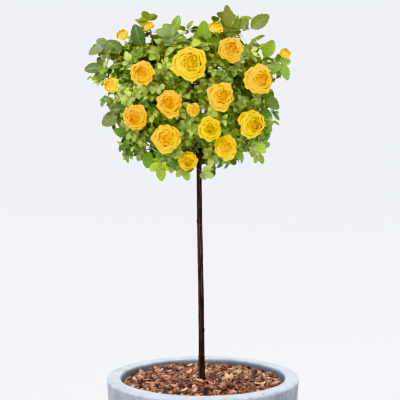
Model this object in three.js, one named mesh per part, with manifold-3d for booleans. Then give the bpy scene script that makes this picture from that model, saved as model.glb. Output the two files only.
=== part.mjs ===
// A standard rose in a round concrete pot: a slim budded stem with a head of short boughs,
// and a round crown of leaf sprays and yellow blooms over a mulch of bark.
// Millimetres, +Z up. The origin is the centre of the pot's underside, and -Y is the front.
import * as THREE from "three";
import { mergeVertices } from "three/addons/utils/BufferGeometryUtils.js";
import Module from "manifold-3d";

const wasm = await Module();
wasm.setup();
const { Manifold, Mesh: SolidMesh } = wasm;

const FIT = 0.3; // clearance between pieces that rest on each other
const SEED = 41;

const pot = {
  height: 420,
  rimRadius: 250,
  rimWidth: 37,
  rimRound: 7,
  bandHeight: 128,
  bandTaper: 8,
  step: 11,
  stepSlope: 9,
  footRadius: 188,
  footRound: 12,
  wall: 26,
  floor: 30,
  sides: 36,
};
const soil = { top: 362, foot: pot.floor + FIT };
const mulch = { edge: 398, centre: 407, relief: 5, rings: 4, margin: 5 };
const chip = {
  count: 22,
  length: 30,
  leastShare: 0.7,
  moreShare: 0.6,
  widthShare: 0.5,
  thicknessShare: 0.22,
  pitch: 75,
  roll: 52,
  margin: 24,
  lift: 4,
};
const stem = {
  footRadius: 8.6,
  flare: 2.4,
  flareFade: 16,
  topRadius: 7,
  knuckleRadius: 17,
  sides: 8,
  steps: 9,
  // The stem leans a little to the left as it climbs from the soil to the budded knuckle.
  line: [
    [-2.4, 0, soil.top + FIT],
    [-4.4, 0, 607],
    [-8.4, 0, 820],
    [-9.6, 0, 930],
    [-10, 0, 1000],
  ],
};
const crown = {
  centre: new THREE.Vector3(-38, 0, 1150),
  halfWidth: 238,
  halfDepth: 228,
  halfHeight: 200,
  squareness: 2.4,
  reach: 1.06,
};
const bough = { footRadius: 4.2, tipRadius: 2.8, sides: 5, steps: 3, bend: 0.25 };
// Two rings of foliage masses, each on the tip of its own bough.
const rings = [
  { name: "low", count: 5, turn: -90, radius: 150, height: 1062, reach: 0.5, rise: 8 },
  { name: "high", count: 4, turn: -90, radius: 122, height: 1238, reach: 0.5, rise: 62 },
];
const twig = {
  stemRadius: 2.6,
  stemLength: 30,
  root: 0.9,
  radius: 1.7,
  end: 1.2,
  turnCost: 0.9,
  arch: 0.06,
  waysTried: 6,
  sharpest: -0.35,
  forkTwigs: 5,
  jointShares: [0.35, 0.7],
  straight: 45,
  finest: [0.2, 0.15, 0.1, 0.05, 0.02],
};
// A bloom's shares are of its radius. Those at the front lie nearly at the crown's outline, and
// each faces a little outwards too.
const bloom = {
  sides: 7,
  heart: 0.1,
  stalkShare: 0.6,
  stalk: 20,
  frontShare: 0.93,
  outward: 0.35,
  profile: [
    [0, -0.72],
    [1, -0.06],
    [0.66, 0.24],
    [0, 0.3],
  ],
};
// A spray is a rose leaf of three: an end leaflet, and a pair that leans out at its foot. Each
// share is one of the leaflet's length.
const leaflet = {
  length: 73,
  widthShare: 0.68,
  thicknessShare: 0.045,
  widest: 0.42,
  root: 14,
  rootShares: [0.8, 0.5, 0.2],
  lean: 80,
  sideShare: 0.86,
  sideWidthShare: 0.62,
};
// Sprays lie in layers: each share is how far out a layer is, from the centre to the outline.
// A heading goes outwards, sways at random and goes a little up; a spray faces out, up and front.
// The pairs are the side leaflets that a spray is tried with: both, the right, the left, none.
const sprays = {
  count: 365,
  layers: [0.86, 0.74, 0.82, 0.62],
  leastShare: 0.86,
  moreShare: 0.28,
  placeSway: 0.1,
  outward: 0.4,
  sway: 1.9,
  upward: 0.15,
  faceUp: 0.5,
  faceFront: 0.1,
  outlineFront: 1.6,
  turns: [0, 60, -60, 120, -120, 180],
  pairs: [
    [true, true],
    [true, false],
    [false, true],
    [false, false],
  ],
};
// How far apart things keep: from the edge of a mass's space, from outline sprays and blooms, and
// from limbs; then how finely limbs and the stalks of blooms are watched.
const apart = {
  border: 2.5,
  heldBack: 26,
  outline: 40,
  bloom: 10,
  leafRoom: 3,
  limb: 5,
  twigRoom: 2,
  boughSteps: 10,
  stemLength: 120,
  stemStep: 8,
  bloomShare: 1.02,
  stalkShares: [0.4, 0.7, 1],
  stalkRadius: 4,
};

// The blooms that the front of the crown shows: across is each one's width, and lift turns it
// from facing the front (0) to facing up (1).
const frontBlooms = [
  { x: -32, z: 1245, across: 88, lift: 0.12 },
  { x: 66, z: 1277, across: 65, lift: 0.1 },
  { x: 139, z: 1201, across: 76, lift: 0.15 },
  { x: -150, z: 1222, across: 61, lift: 0.12 },
  { x: -84, z: 1149, across: 66, lift: 0.2 },
  { x: 44, z: 1165, across: 69, lift: 0.15 },
  { x: -168, z: 1112, across: 61, lift: 0.15 },
  { x: -90, z: 1061, across: 73, lift: 0.2 },
  { x: 16, z: 1085, across: 60, lift: 0.2 },
  { x: 122, z: 1094, across: 71, lift: 0.15 },
  { x: 56, z: 1036, across: 61, lift: 0.3 },
  { x: -37, z: 999, across: 50, lift: 0.1 },
  { x: -24, z: 1132, across: 32, lift: 0.2 },
  { x: -229, z: 1188, across: 39, lift: 0.32 },
  { x: -203, z: 1307, across: 33, lift: 0.4 },
  { x: -135, z: 1331, across: 27, lift: 0.5 },
  { x: 32, z: 1328, across: 35, lift: 0.4 },
  { x: 210, z: 1258, across: 30, lift: 0.4 },
];
// The sprays that stand out of the crown's outline: the tip of each, how far it lies to the
// front, its heading in degrees from the right, and the length of its end leaflet.
const outlineSprays = [
  { x: 166, z: 1356, front: 40, heading: 37, length: 58 },
  { x: 62, z: 1376, front: 40, heading: 94, length: 54 },
  { x: 4, z: 1344, front: 90, heading: 88, length: 60 },
  { x: -63, z: 1357, front: 75, heading: 80, length: 42 },
  { x: -118, z: 1322, front: 110, heading: 160, length: 40 },
  { x: -172, z: 1333, front: 60, heading: 108, length: 62 },
  { x: -243, z: 1290, front: 50, heading: 146, length: 50 },
  { x: -292, z: 1257, front: 10, heading: 200, length: 46 },
  { x: -301, z: 1217, front: 20, heading: 184, length: 46 },
  { x: -233, z: 1120, front: 60, heading: 185, length: 42 },
  { x: -259, z: 1078, front: 20, heading: 207, length: 54 },
  { x: -227, z: 1066, front: 50, heading: 164, length: 38 },
  { x: -142, z: 966, front: 40, heading: 262, length: 46 },
  { x: -107, z: 934, front: 50, heading: 268, length: 42 },
  { x: 100, z: 988, front: 60, heading: 297, length: 30 },
  { x: 161, z: 1008, front: 40, heading: 321, length: 40 },
  { x: 172, z: 1066, front: 30, heading: 50, length: 42 },
  { x: 178, z: 1096, front: 20, heading: 338, length: 42 },
  { x: 196, z: 1120, front: 20, heading: 331, length: 48 },
  { x: 178, z: 1292, front: 30, heading: 60, length: 50 },
  { x: 219, z: 1189, front: 10, heading: 300, length: 48 },
];
// The blooms of the sides and the back, which follow a rule. At the sides they sit deeper.
const ruledBlooms = {
  count: 36,
  share: 0.9,
  sideShare: 0.83,
  sideTo: 0.45,
  least: 48,
  most: 74,
  apart: 22,
  upward: 0.3,
  behind: 0.1,
  above: -0.72,
};

const concrete = new THREE.MeshStandardMaterial({ color: "#b9bfc6", roughness: 0.85 });
const earth = new THREE.MeshStandardMaterial({ color: "#3a2a20", roughness: 1 });
const barkChip = new THREE.MeshStandardMaterial({ color: "#8c5238", roughness: 0.9 });
const rind = new THREE.MeshStandardMaterial({ color: "#3b2a23", roughness: 0.8 });
const foliage = new THREE.MeshStandardMaterial({ color: "#4f7a2a", roughness: 0.55 });

const UP = new THREE.Vector3(0, 0, 1);
const FRONT = new THREE.Vector3(0, -1, 0);
const GOLDEN_ANGLE = Math.PI * (3 - Math.sqrt(5));
const vector = (x, y, z) => new THREE.Vector3(x, y, z);
const radians = THREE.MathUtils.degToRad;

// The same seed grows the same bush each time.
function seeded(seed) {
  let state = seed;
  return () => {
    state = (state * 16807) % 2147483647;
    return state / 2147483647;
  };
}

// Directions spread evenly over a ball, each turned on from the last by the golden angle.
function spread(count, index) {
  const height = 1 - (2 * index + 1) / count;
  const level = Math.sqrt(1 - height * height);
  const around = index * GOLDEN_ANGLE;
  return vector(level * Math.cos(around), level * Math.sin(around), height);
}

// A geometry's bare surface, with vertices closer than the tolerance made one.
function welded(geometry, tolerance) {
  const bare = geometry.clone();
  bare.deleteAttribute("normal");
  bare.deleteAttribute("uv");
  return mergeVertices(bare, tolerance);
}

function solidFrom(geometry) {
  const merged = welded(geometry, 1e-4);
  return new Manifold(
    new SolidMesh({
      numProp: 3,
      vertProperties: merged.getAttribute("position").array,
      triVerts: new Uint32Array(merged.index.array),
    }),
  );
}

// The largest body of a fused solid, as a geometry: scraps that fused to nothing are dropped.
function geometryFrom(solid) {
  const bodies = solid.decompose().sort((a, b) => b.volume() - a.volume());
  const mesh = bodies[0].getMesh();
  const geometry = new THREE.BufferGeometry();
  geometry.setAttribute("position", new THREE.BufferAttribute(mesh.vertProperties, 3));
  geometry.setIndex(new THREE.BufferAttribute(mesh.triVerts, 1));
  geometry.computeVertexNormals();
  return geometry;
}

// A round body turned from a profile of radius and height, upright on its foot.
function turnedBody(profile, sides) {
  return new THREE.LatheGeometry(profile, sides).rotateX(Math.PI / 2);
}

// A closed tapering limb along a curve: a cylinder whose rings are carried onto the curve.
function limb(curve, radiusAt, sides, steps) {
  const geometry = new THREE.CylinderGeometry(1, 1, 1, sides, steps);
  const frames = curve.computeFrenetFrames(steps, false);
  const position = geometry.getAttribute("position");
  for (let i = 0; i < position.count; i += 1) {
    const step = Math.round((position.getY(i) + 0.5) * steps);
    const radius = radiusAt(step / steps);
    const point = curve
      .getPointAt(step / steps)
      .addScaledVector(frames.binormals[step], position.getX(i) * radius)
      .addScaledVector(frames.normals[step], position.getZ(i) * radius);
    position.setXYZ(i, point.x, point.y, point.z);
  }
  return geometry;
}

function taper(from, to) {
  return (share) => from + (to - from) * share;
}

// Pot: a thick cast wall with a rounded rim, a tall band and a stepped-in tapering body.
function potOuterRadius(height) {
  const bandFoot = pot.height - pot.bandHeight;
  if (height >= bandFoot) {
    const rise = (height - bandFoot) / pot.bandHeight;
    return pot.rimRadius - pot.bandTaper * (1 - rise);
  }
  const bodyTop = pot.rimRadius - pot.bandTaper - pot.step;
  return pot.footRadius + (bodyTop - pot.footRadius) * (height / bandFoot);
}

function potInnerRadius(height) {
  const mouth = pot.rimRadius - pot.rimWidth;
  const floor = pot.footRadius - pot.wall;
  return floor + (mouth - floor) * ((height - pot.floor) / (pot.height - pot.floor));
}

function potProfile() {
  const bandFoot = pot.height - pot.bandHeight;
  const points = [new THREE.Vector2(0, 0)];
  const corner = (x, y, radius, from, to, steps) => {
    for (let i = 0; i <= steps; i += 1) {
      const angle = radians(from + ((to - from) * i) / steps);
      points.push(new THREE.Vector2(x + radius * Math.cos(angle), y + radius * Math.sin(angle)));
    }
  };
  corner(pot.footRadius - pot.footRound, pot.footRound, pot.footRound, -90, 0, 2);
  const stepFoot = bandFoot - pot.stepSlope;
  points.push(new THREE.Vector2(potOuterRadius(stepFoot), stepFoot));
  points.push(new THREE.Vector2(potOuterRadius(bandFoot), bandFoot));
  corner(pot.rimRadius - pot.rimRound, pot.height - pot.rimRound, pot.rimRound, 0, 90, 3);
  const mouth = pot.rimRadius - pot.rimWidth;
  corner(mouth + pot.rimRound, pot.height - pot.rimRound, pot.rimRound, 90, 180, 2);
  points.push(new THREE.Vector2(potInnerRadius(pot.floor), pot.floor));
  points.push(new THREE.Vector2(0, pot.floor));
  return points;
}

function makeSoil() {
  const edge = (height) => potInnerRadius(height) - FIT;
  const profile = [
    new THREE.Vector2(0, soil.foot),
    new THREE.Vector2(edge(soil.foot), soil.foot),
    new THREE.Vector2(edge(soil.top), soil.top),
    new THREE.Vector2(0, soil.top),
  ];
  return turnedBody(profile, pot.sides);
}

// Mulch: a layer of bark with a rough faceted top, heaped a little towards the stem.
function mulchHeight(radius) {
  const share = radius / potInnerRadius(mulch.edge);
  return mulch.centre + (mulch.edge - mulch.centre) * share * share;
}

function makeMulchBed(random) {
  const foot = soil.top + FIT;
  const profile = [new THREE.Vector2(0, foot), new THREE.Vector2(potInnerRadius(foot) - FIT, foot)];
  for (let ring = mulch.rings; ring >= 0; ring -= 1) {
    const radius = ((potInnerRadius(mulch.edge) - FIT) * ring) / mulch.rings;
    profile.push(new THREE.Vector2(radius, mulchHeight(radius)));
  }
  const geometry = welded(turnedBody(profile, pot.sides), 1e-3);
  const position = geometry.getAttribute("position");
  const edge = potInnerRadius(mulch.edge) - mulch.margin;
  for (let i = 0; i < position.count; i += 1) {
    const radius = Math.hypot(position.getX(i), position.getY(i));
    if (position.getZ(i) > mulch.edge - 1 && radius < edge) {
      position.setZ(i, position.getZ(i) + (random() * 2 - 1) * mulch.relief);
    }
  }
  return geometry;
}

function makeChip(random, i) {
  const radius = Math.sqrt((i + 0.5) / chip.count) * (potInnerRadius(mulch.edge) - chip.margin);
  const around = i * GOLDEN_ANGLE;
  const length = chip.length * (chip.leastShare + chip.moreShare * random());
  const size = [length, length * chip.widthShare, length * chip.thicknessShare];
  const shape = new THREE.BoxGeometry(...size);
  shape.rotateY((random() - 0.5) * radians(chip.pitch));
  shape.rotateX((random() - 0.5) * radians(chip.roll));
  shape.rotateZ(random() * Math.PI);
  const height = mulchHeight(radius) + chip.lift;
  return shape.translate(radius * Math.cos(around), radius * Math.sin(around), height);
}

function makeMulch(stemSolid) {
  const random = seeded(SEED);
  const pieces = [solidFrom(makeMulchBed(random))];
  for (let i = 0; i < chip.count; i += 1) pieces.push(solidFrom(makeChip(random, i)));
  return geometryFrom(Manifold.union(pieces).subtract(stemSolid));
}

// Stem: one tapering trunk with a flared foot, fused to the swollen knuckle that was budded.
function stemCurve() {
  return new THREE.CatmullRomCurve3(stem.line.map((point) => vector(...point)));
}

function makeStem(grow = 0) {
  const tapered = taper(stem.footRadius, stem.topRadius);
  const radiusAt = (share) =>
    tapered(share) + stem.flare * Math.exp(-share * stem.flareFade) + grow;
  const trunk = solidFrom(limb(stemCurve(), radiusAt, stem.sides, stem.steps));
  return Manifold.union([trunk, solidFrom(makeKnuckle(grow))]);
}

function makeKnuckle(grow) {
  const ball = new THREE.IcosahedronGeometry(stem.knuckleRadius + grow, 1);
  return ball.translate(...stem.line.at(-1));
}

// Each mass owns the space that lies nearer to its centre than to the others' centres.
function makeMasses() {
  const head = vector(...stem.line.at(-1));
  return rings.flatMap((ring) =>
    Array.from({ length: ring.count }, (_, i) => {
      const angle = radians(ring.turn + (360 * i) / ring.count);
      const centre = vector(
        crown.centre.x + ring.radius * Math.cos(angle),
        crown.centre.y + ring.radius * Math.sin(angle),
        ring.height,
      );
      const tip = head.clone().lerp(centre, ring.reach);
      const bend = head.clone().lerp(tip, 0.5).addScaledVector(UP, ring.rise * bough.bend);
      return {
        name: `${ring.name}_${i + 1}`,
        centre,
        bough: new THREE.QuadraticBezierCurve3(head, bend, tip),
      };
    }),
  );
}

function makeBough(mass) {
  const shape = limb(mass.bough, taper(bough.footRadius, bough.tipRadius), bough.sides, bough.steps);
  return geometryFrom(solidFrom(shape).subtract(solidFrom(makeKnuckle(FIT))));
}

// How far out an offset from the crown's centre lies: 1 is on its rounded outline.
function outwardShare(offset) {
  const power = crown.squareness;
  const size =
    Math.abs(offset.x / crown.halfWidth) ** power +
    Math.abs(offset.y / crown.halfDepth) ** power +
    Math.abs(offset.z / crown.halfHeight) ** power;
  return size ** (1 / power);
}

function outline(direction, share) {
  return crown.centre.clone().addScaledVector(direction, share / outwardShare(direction));
}

// How far the crown's front lies before its centre, over a place in the front view.
function frontDepth(x, z) {
  const power = crown.squareness;
  const left =
    1 -
    Math.abs((x - crown.centre.x) / crown.halfWidth) ** power -
    Math.abs((z - crown.centre.z) / crown.halfHeight) ** power;
  return crown.halfDepth * Math.max(left, 0) ** (1 / power);
}

// A target is what one twig of a mass grows to: a bloom, or a spray of leaflets.
function bloomAt(centre, facing, across, fixed) {
  const radius = across / 2;
  const behind = bloom.stalkShare * radius + bloom.stalk;
  const place = centre.clone().addScaledVector(facing, -behind);
  return { kind: "bloom", centre, facing, heading: facing, radius, place, fixed };
}

function makeBlooms(random, outlineLeaves) {
  const made = frontBlooms.map(({ x, z, across, lift }) => {
    const centre = vector(x, -bloom.frontShare * frontDepth(x, z), z);
    const outward = centre.clone().sub(crown.centre).normalize();
    const facing = FRONT.clone().multiplyScalar(1 - lift).addScaledVector(UP, lift);
    facing.addScaledVector(outward, bloom.outward).normalize();
    return bloomAt(centre, facing, across, true);
  });
  for (let i = 0; i < ruledBlooms.count; i += 1) {
    const direction = spread(ruledBlooms.count, i);
    const atSide = direction.y < ruledBlooms.sideTo;
    const centre = outline(direction, atSide ? ruledBlooms.sideShare : ruledBlooms.share);
    const across = ruledBlooms.least + (ruledBlooms.most - ruledBlooms.least) * random();
    const room = across / 2 + ruledBlooms.apart;
    const crowded =
      made.some((other) => other.centre.distanceTo(centre) < other.radius + room) ||
      outlineLeaves.some(({ place }) => place.distanceTo(centre) < across / 2 + apart.outline);
    const inPlace = direction.y > ruledBlooms.behind && direction.z > ruledBlooms.above;
    if (inPlace && !crowded) {
      const facing = direction.clone().addScaledVector(UP, ruledBlooms.upward).normalize();
      made.push(bloomAt(centre, facing, across, true));
    }
  }
  return made;
}

// A spray's leaflets face up and outwards, more or less to the front, and lie along its heading.
function sprayAt(place, heading, length, fixed) {
  const front = fixed ? sprays.outlineFront : sprays.faceFront;
  const outward = place.clone().sub(crown.centre).normalize();
  const face = outward.addScaledVector(UP, sprays.faceUp).addScaledVector(FRONT, front);
  face.addScaledVector(heading, -face.dot(heading)).normalize();
  return { kind: "spray", heading, face, length, place, fixed };
}

function makeOutlineSprays() {
  return outlineSprays.map(({ x, z, front, heading, length }) => {
    const angle = radians(heading);
    const direction = vector(Math.cos(angle), 0, Math.sin(angle));
    const place = vector(x, -front, z).addScaledVector(direction, -length);
    return sprayAt(place, direction, length, true);
  });
}

function makeSprays(random, blooms, outlineLeaves) {
  const made = [];
  for (let i = 0; i < sprays.count; i += 1) {
    const sway = vector(random() - 0.5, random() - 0.5, random() - 0.5);
    const length = leaflet.length * (sprays.leastShare + sprays.moreShare * random());
    const direction = spread(sprays.count, i).addScaledVector(sway, sprays.placeSway).normalize();
    const place = outline(direction, sprays.layers[i % sprays.layers.length]);
    const heading = direction.clone().multiplyScalar(sprays.outward);
    heading.addScaledVector(sway, sprays.sway).addScaledVector(UP, sprays.upward).normalize();
    const nearOutline = outlineLeaves.some(
      (other) => other.place.distanceTo(place) < apart.outline,
    );
    const nearBloom = blooms.some(
      ({ centre, radius }) => centre.distanceTo(place) < radius + apart.bloom,
    );
    if (!nearOutline && !nearBloom) made.push(sprayAt(place, heading, length, false));
  }
  return made;
}

// Each target goes to the mass whose centre is nearest, held back from the edge of its space.
function shareOut(targets, masses) {
  for (const target of targets) {
    const reach = target.kind === "spray" ? target.length * leaflet.widest : 0;
    const middle = target.place.clone().addScaledVector(target.heading, reach);
    target.owner = masses.reduce((a, b) =>
      a.centre.distanceTo(middle) < b.centre.distanceTo(middle) ? a : b,
    );
    if (target.fixed) continue;
    for (const other of masses) {
      if (other === target.owner) continue;
      const away = borderDistance(target.owner, other, target.place);
      const back = target.owner.centre.clone().sub(other.centre).normalize();
      if (away < apart.heldBack) target.place.addScaledVector(back, apart.heldBack - away);
    }
  }
}

// How far a point lies inside the plane halfway between two masses.
function borderDistance(mass, other, point) {
  const across = other.centre.clone().sub(mass.centre);
  const halfway = across.length() / 2;
  return halfway - point.clone().sub(mass.centre).dot(across.normalize());
}

// A spray's rings: its stalk, whose edges are drawn out to the outlines of the side leaflets
// that it has, and the end leaflet, all in the plane of the heading and the side.
function sprayRings({ place, heading, face, length }, hasRight, hasLeft) {
  const side = heading.clone().cross(face);
  const at = (run, across) =>
    place.clone().addScaledVector(heading, run).addScaledVector(side, across);
  const ring = (run, right, left, thick) => ({ centre: at(run, 0), right, left, face, thick });
  const stalk = (run) => ring(run, at(run, twig.end), at(run, -twig.end), twig.end);
  const half = (length * leaflet.widthShare) / 2;
  const widest = length * leaflet.widest;
  const blade = [
    ring(widest, at(widest, half), at(widest, -half), (length * leaflet.thicknessShare) / 2),
    { centre: at(length, 0) },
  ];
  if (!hasRight && !hasLeft) return [stalk(-leaflet.root), stalk(0), ...blade];

  const lean = radians(leaflet.lean);
  const sideLength = length * leaflet.sideShare;
  const sideHalf = (sideLength * leaflet.sideWidthShare) / 2;
  // The corners of a side leaflet: how far along it each lies, and how far to its front.
  const corners = [
    [leaflet.widest * sideLength, -sideHalf],
    [sideLength, 0],
    [leaflet.widest * sideLength, sideHalf],
  ];
  const drawnOut = corners.map(([along, front], i) => {
    const back = -leaflet.root * leaflet.rootShares[i];
    const run = along * Math.cos(lean) + front * Math.sin(lean) - leaflet.root / 2;
    const across = along * Math.sin(lean) - front * Math.cos(lean);
    const right = hasRight ? at(run, across) : at(back, twig.end);
    const left = hasLeft ? at(run, -across) : at(back, -twig.end);
    return ring(back, right, left, twig.end);
  });
  return [stalk(-leaflet.root), ...drawnOut, stalk(0), ...blade];
}

// A bloom's solid: a cup of outer petals that narrows to a raised heart.
function bloomSolid({ centre, facing, radius }) {
  const profile = bloom.profile.map(([x, y]) => new THREE.Vector2(x * radius, y * radius));
  const geometry = turnedBody(profile, bloom.sides);
  geometry.applyQuaternion(new THREE.Quaternion().setFromUnitVectors(UP, facing));
  return solidFrom(geometry.translate(centre.x, centre.y, centre.z));
}

// A twig's rings: thin where it is sunk into its parent, and turned step by step from the way
// that its target faces.
function twigRings(path, target) {
  const radii = path.length > 2 ? [twig.root, twig.radius, twig.end] : [twig.root, twig.end];
  const ways = waysAlong(path);
  ways.push(target.heading);
  let ahead = target.heading;
  let face = target.face ?? sideways(target.heading);
  const made = [];
  for (let i = path.length - 1; i >= 0; i -= 1) {
    const here = i === 0 ? ways[0] : ways[i - 1].clone().add(ways[i]).normalize();
    face = face.clone().applyQuaternion(new THREE.Quaternion().setFromUnitVectors(ahead, here));
    ahead = here;
    const side = ahead.clone().cross(face);
    made.unshift({
      centre: path[i],
      face,
      thick: radii[i],
      right: path[i].clone().addScaledVector(side, radii[i]),
      left: path[i].clone().addScaledVector(side, -radii[i]),
    });
  }
  return made;
}

function waysAlong(path) {
  return path.slice(1).map((point, i) => point.clone().sub(path[i]).normalize());
}

function sideways(direction) {
  return direction.clone().cross(Math.abs(direction.z) < 0.9 ? UP : FRONT).normalize();
}

// A closed four-sided solid through rings, each with its right and left edge and its thickness,
// up to the last point.
function ringedSolid(made) {
  const steps = made.length - 1;
  const shape = new THREE.ConeGeometry(1, 1, 4, steps);
  const position = shape.getAttribute("position");
  for (let i = 0; i < position.count; i += 1) {
    const step = Math.round((position.getY(i) + 0.5) * steps);
    const widen = step < steps ? steps / (steps - step) : 0;
    const across = Math.round(position.getX(i) * widen);
    const through = Math.round(position.getZ(i) * widen);
    const { centre, face, thick, right, left } = made[step];
    const point = centre.clone();
    if (across !== 0) point.copy(across > 0 ? right : left);
    if (through !== 0) point.addScaledVector(face, through * thick);
    position.setXYZ(i, point.x, point.y, point.z);
  }
  return solidFrom(shape);
}

function crosses(solid, others) {
  const a = solid.boundingBox();
  return others.some((other) => {
    const b = other.boundingBox();
    const near = a.min.every((low, i) => low < b.max[i] && b.min[i] < a.max[i]);
    return near && !solid.intersect(other).isEmpty();
  });
}

// The ways to a place from each joint, the shortest with the least turn first.
function waysTo(place, joints) {
  const free = joints.filter((joint) => joint.room > 0);
  const ways = free.map((joint) => {
    const way = place.clone().sub(joint.place);
    const turn = 1 - way.clone().normalize().dot(joint.heading);
    return { joint, cost: way.length() * (1 + twig.turnCost * turn) };
  });
  ways.sort((a, b) => a.cost - b.cost);
  return ways.slice(0, twig.waysTried).map(({ joint }) => {
    const reach = joint.place.distanceTo(place);
    if (reach < twig.straight) return { joint, path: [joint.place, place] };
    const middle = joint.place.clone().lerp(place, 0.5).addScaledVector(UP, twig.arch * reach);
    return { joint, path: [joint.place, middle, place] };
  });
}

// The joints along a new twig, each with room for one more.
function jointsOn({ path }, stalk) {
  return twig.jointShares.map((share) => {
    const run = share * (path.length - 1);
    const from = path[Math.floor(run)];
    const to = path[Math.floor(run) + 1];
    const heading = to.clone().sub(from).normalize();
    return { place: from.clone().lerp(to, run % 1), heading, room: 1, parent: stalk };
  });
}

// Grows a mass: its stem goes on from the bough, and each target, the nearest first, is reached
// by a twig from the best joint. A twig or spray that would leave the mass's space, touch a limb
// or a bloom, or cross a leaf is turned about its twig, or else left out.
function growMass(mass, masses, targets, obstacles) {
  const inSpace = (points) =>
    masses.every(
      (other) =>
        other === mass ||
        points.every((point) => borderDistance(mass, other, point) > apart.border),
    );
  const clear = (from, to, room, self = null) =>
    obstacles.every(
      (item) =>
        item.target === self ||
        (item.kind === "stalk" && item.owner === mass) ||
        segmentDistance(item.place, from, to) > item.radius + room,
    );

  const start = mass.bough.getPointAt(1);
  const ahead = mass.bough.getTangentAt(1);
  const foot = start.clone().addScaledVector(ahead, FIT);
  const fork = start.clone().addScaledVector(ahead, twig.stemLength);
  const stemLine = new THREE.LineCurve3(foot, fork.clone().addScaledVector(ahead, 1));
  const pieces = [solidFrom(limb(stemLine, () => twig.stemRadius, 5, 1))];
  const stalks = [{ solid: pieces[0] }];
  const leaves = [];
  const joints = [{ place: fork, heading: ahead, room: twig.forkTwigs, parent: pieces[0] }];
  const nearest = [...targets].sort((a, b) => a.place.distanceTo(fork) - b.place.distanceTo(fork));
  const grow = (target, way, leafy, inAnyCase) => {
    const isBloom = target.kind === "bloom";
    if (!isBloom && !leafFits(leafy, inSpace, clear)) return false;
    if (!target.fixed && !leafy.every(isInCrown)) return false;
    const rings = twigRings(way.path, target);
    const stalk = ringedSolid([...rings.slice(0, -1), { centre: way.path.at(-1) }]);
    const leaf = isBloom ? bloomSolid(target) : ringedSolid(leafy);
    const others = stalks.filter((item) => item.solid !== way.joint.parent);
    const crossing =
      crosses(leaf, [...leaves, ...stalks.map((item) => item.solid)]) ||
      crosses(stalk, leaves) ||
      crosses(stalk, others.filter((item) => item.joint !== way.joint).map((item) => item.solid));
    if (crossing && !inAnyCase) return false;

    pieces.push(ringedSolid(isBloom ? [...rings, ...leafy] : [...rings.slice(0, -1), ...leafy]));
    if (isBloom) pieces.push(leaf);
    stalks.push({ solid: stalk, joint: way.joint });
    leaves.push(leaf);
    joints.push(...jointsOn(way, stalk));
    way.joint.room -= 1;
    return true;
  };
  for (const target of nearest) {
    turnings(target).some((turned) => {
      const isBloom = target.kind === "bloom";
      const leafFoot = turned.place.clone().addScaledVector(turned.heading, -leaflet.root);
      const isFree = ({ path }) =>
        waysAlong(path).at(-1).dot(turned.heading) > twig.sharpest &&
        inSpace(path) &&
        path.slice(1).every((to, i) => clear(path[i], to, apart.twigRoom, target));
      const ways = waysTo(isBloom ? target.place : leafFoot, joints).filter(isFree);
      const forms = isBloom
        ? [[{ centre: bloomHeart(target) }]]
        : sprays.pairs.map(([right, left]) => sprayRings(turned, right, left));
      const grown = forms.some((leafy) => ways.some((way) => grow(turned, way, leafy, false)));
      // What the photo shows is grown in any case.
      const asked = target.fixed && ways.length > 0;
      return grown || (asked && grow(turned, ways[0], forms.at(-1), true));
    });
  }
  return tidied(Manifold.union(pieces));
}

// Thins out a fused solid's finest facets, with the coarsest tolerance that pinches no edge.
function tidied(solid) {
  const tries = twig.finest.map((tolerance) => solid.simplify(tolerance));
  return tries.find(isUnpinched) ?? solid;
}

// Whether each edge still has two faces once vertices at the same place are one.
function isUnpinched(solid) {
  const index = welded(geometryFrom(solid), 1e-3).index.array;
  const faces = new Map();
  for (let i = 0; i < index.length; i += 3) {
    const [a, b, c] = index.slice(i, i + 3);
    if (a === b || b === c || c === a) continue;
    for (const [from, to] of [[a, b], [b, c], [c, a]]) {
      const edge = `${Math.min(from, to)} ${Math.max(from, to)}`;
      faces.set(edge, (faces.get(edge) ?? 0) + 1);
    }
  }
  return [...faces.values()].every((count) => count === 2);
}

// A spray that follows the rule may be turned about the way out of the crown; others stay.
function turnings(target) {
  if (target.fixed) return [target];
  const outward = target.place.clone().sub(crown.centre).normalize();
  return sprays.turns.map((turn) => {
    const heading = target.heading.clone().applyAxisAngle(outward, radians(turn));
    return sprayAt(target.place, heading, target.length, false);
  });
}

function isInCrown({ centre, right, left }) {
  const corners = right ? [right, left] : [centre];
  return corners.every(
    (corner) => outwardShare(corner.clone().sub(crown.centre)) < crown.reach,
  );
}

function bloomHeart({ centre, facing, radius }) {
  return centre.clone().addScaledVector(facing, -bloom.heart * radius);
}

function leafFits(leafy, inSpace, clear) {
  const corners = leafy.flatMap(({ centre, right, left }) => (right ? [right, left] : [centre]));
  const spans = leafy.slice(1, -1).flatMap(({ centre, right, left }) => [
    [centre, right],
    [centre, left],
  ]);
  spans.push([leafy[0].centre, leafy.at(-1).centre]);
  return inSpace(corners) && spans.every(([from, to]) => clear(from, to, apart.leafRoom));
}

function segmentDistance(point, from, to) {
  const nearest = new THREE.Line3(from, to).closestPointToPoint(point, true, vector(0, 0, 0));
  return nearest.distanceTo(point);
}

// What twigs and leaves keep clear of: the limbs, the blooms, and the stalks of other masses.
function makeObstacles(masses, blooms) {
  const made = [];
  for (const mass of masses) {
    for (let i = 0; i <= apart.boughSteps; i += 1) {
      const place = mass.bough.getPointAt(i / apart.boughSteps);
      made.push({ kind: "limb", place, radius: bough.footRadius + apart.limb });
    }
  }
  const head = vector(...stem.line.at(-1));
  for (let down = 0; down <= apart.stemLength; down += apart.stemStep) {
    const place = head.clone().addScaledVector(UP, -down);
    made.push({ kind: "limb", place, radius: stem.knuckleRadius + apart.limb });
  }
  for (const target of blooms) {
    const { owner, centre, place, radius } = target;
    made.push({ kind: "bloom", target, place: centre, radius: radius * apart.bloomShare });
    for (const share of apart.stalkShares) {
      const along = centre.clone().lerp(place, share);
      made.push({ kind: "stalk", owner, place: along, radius: apart.stalkRadius });
    }
  }
  return made;
}

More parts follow.
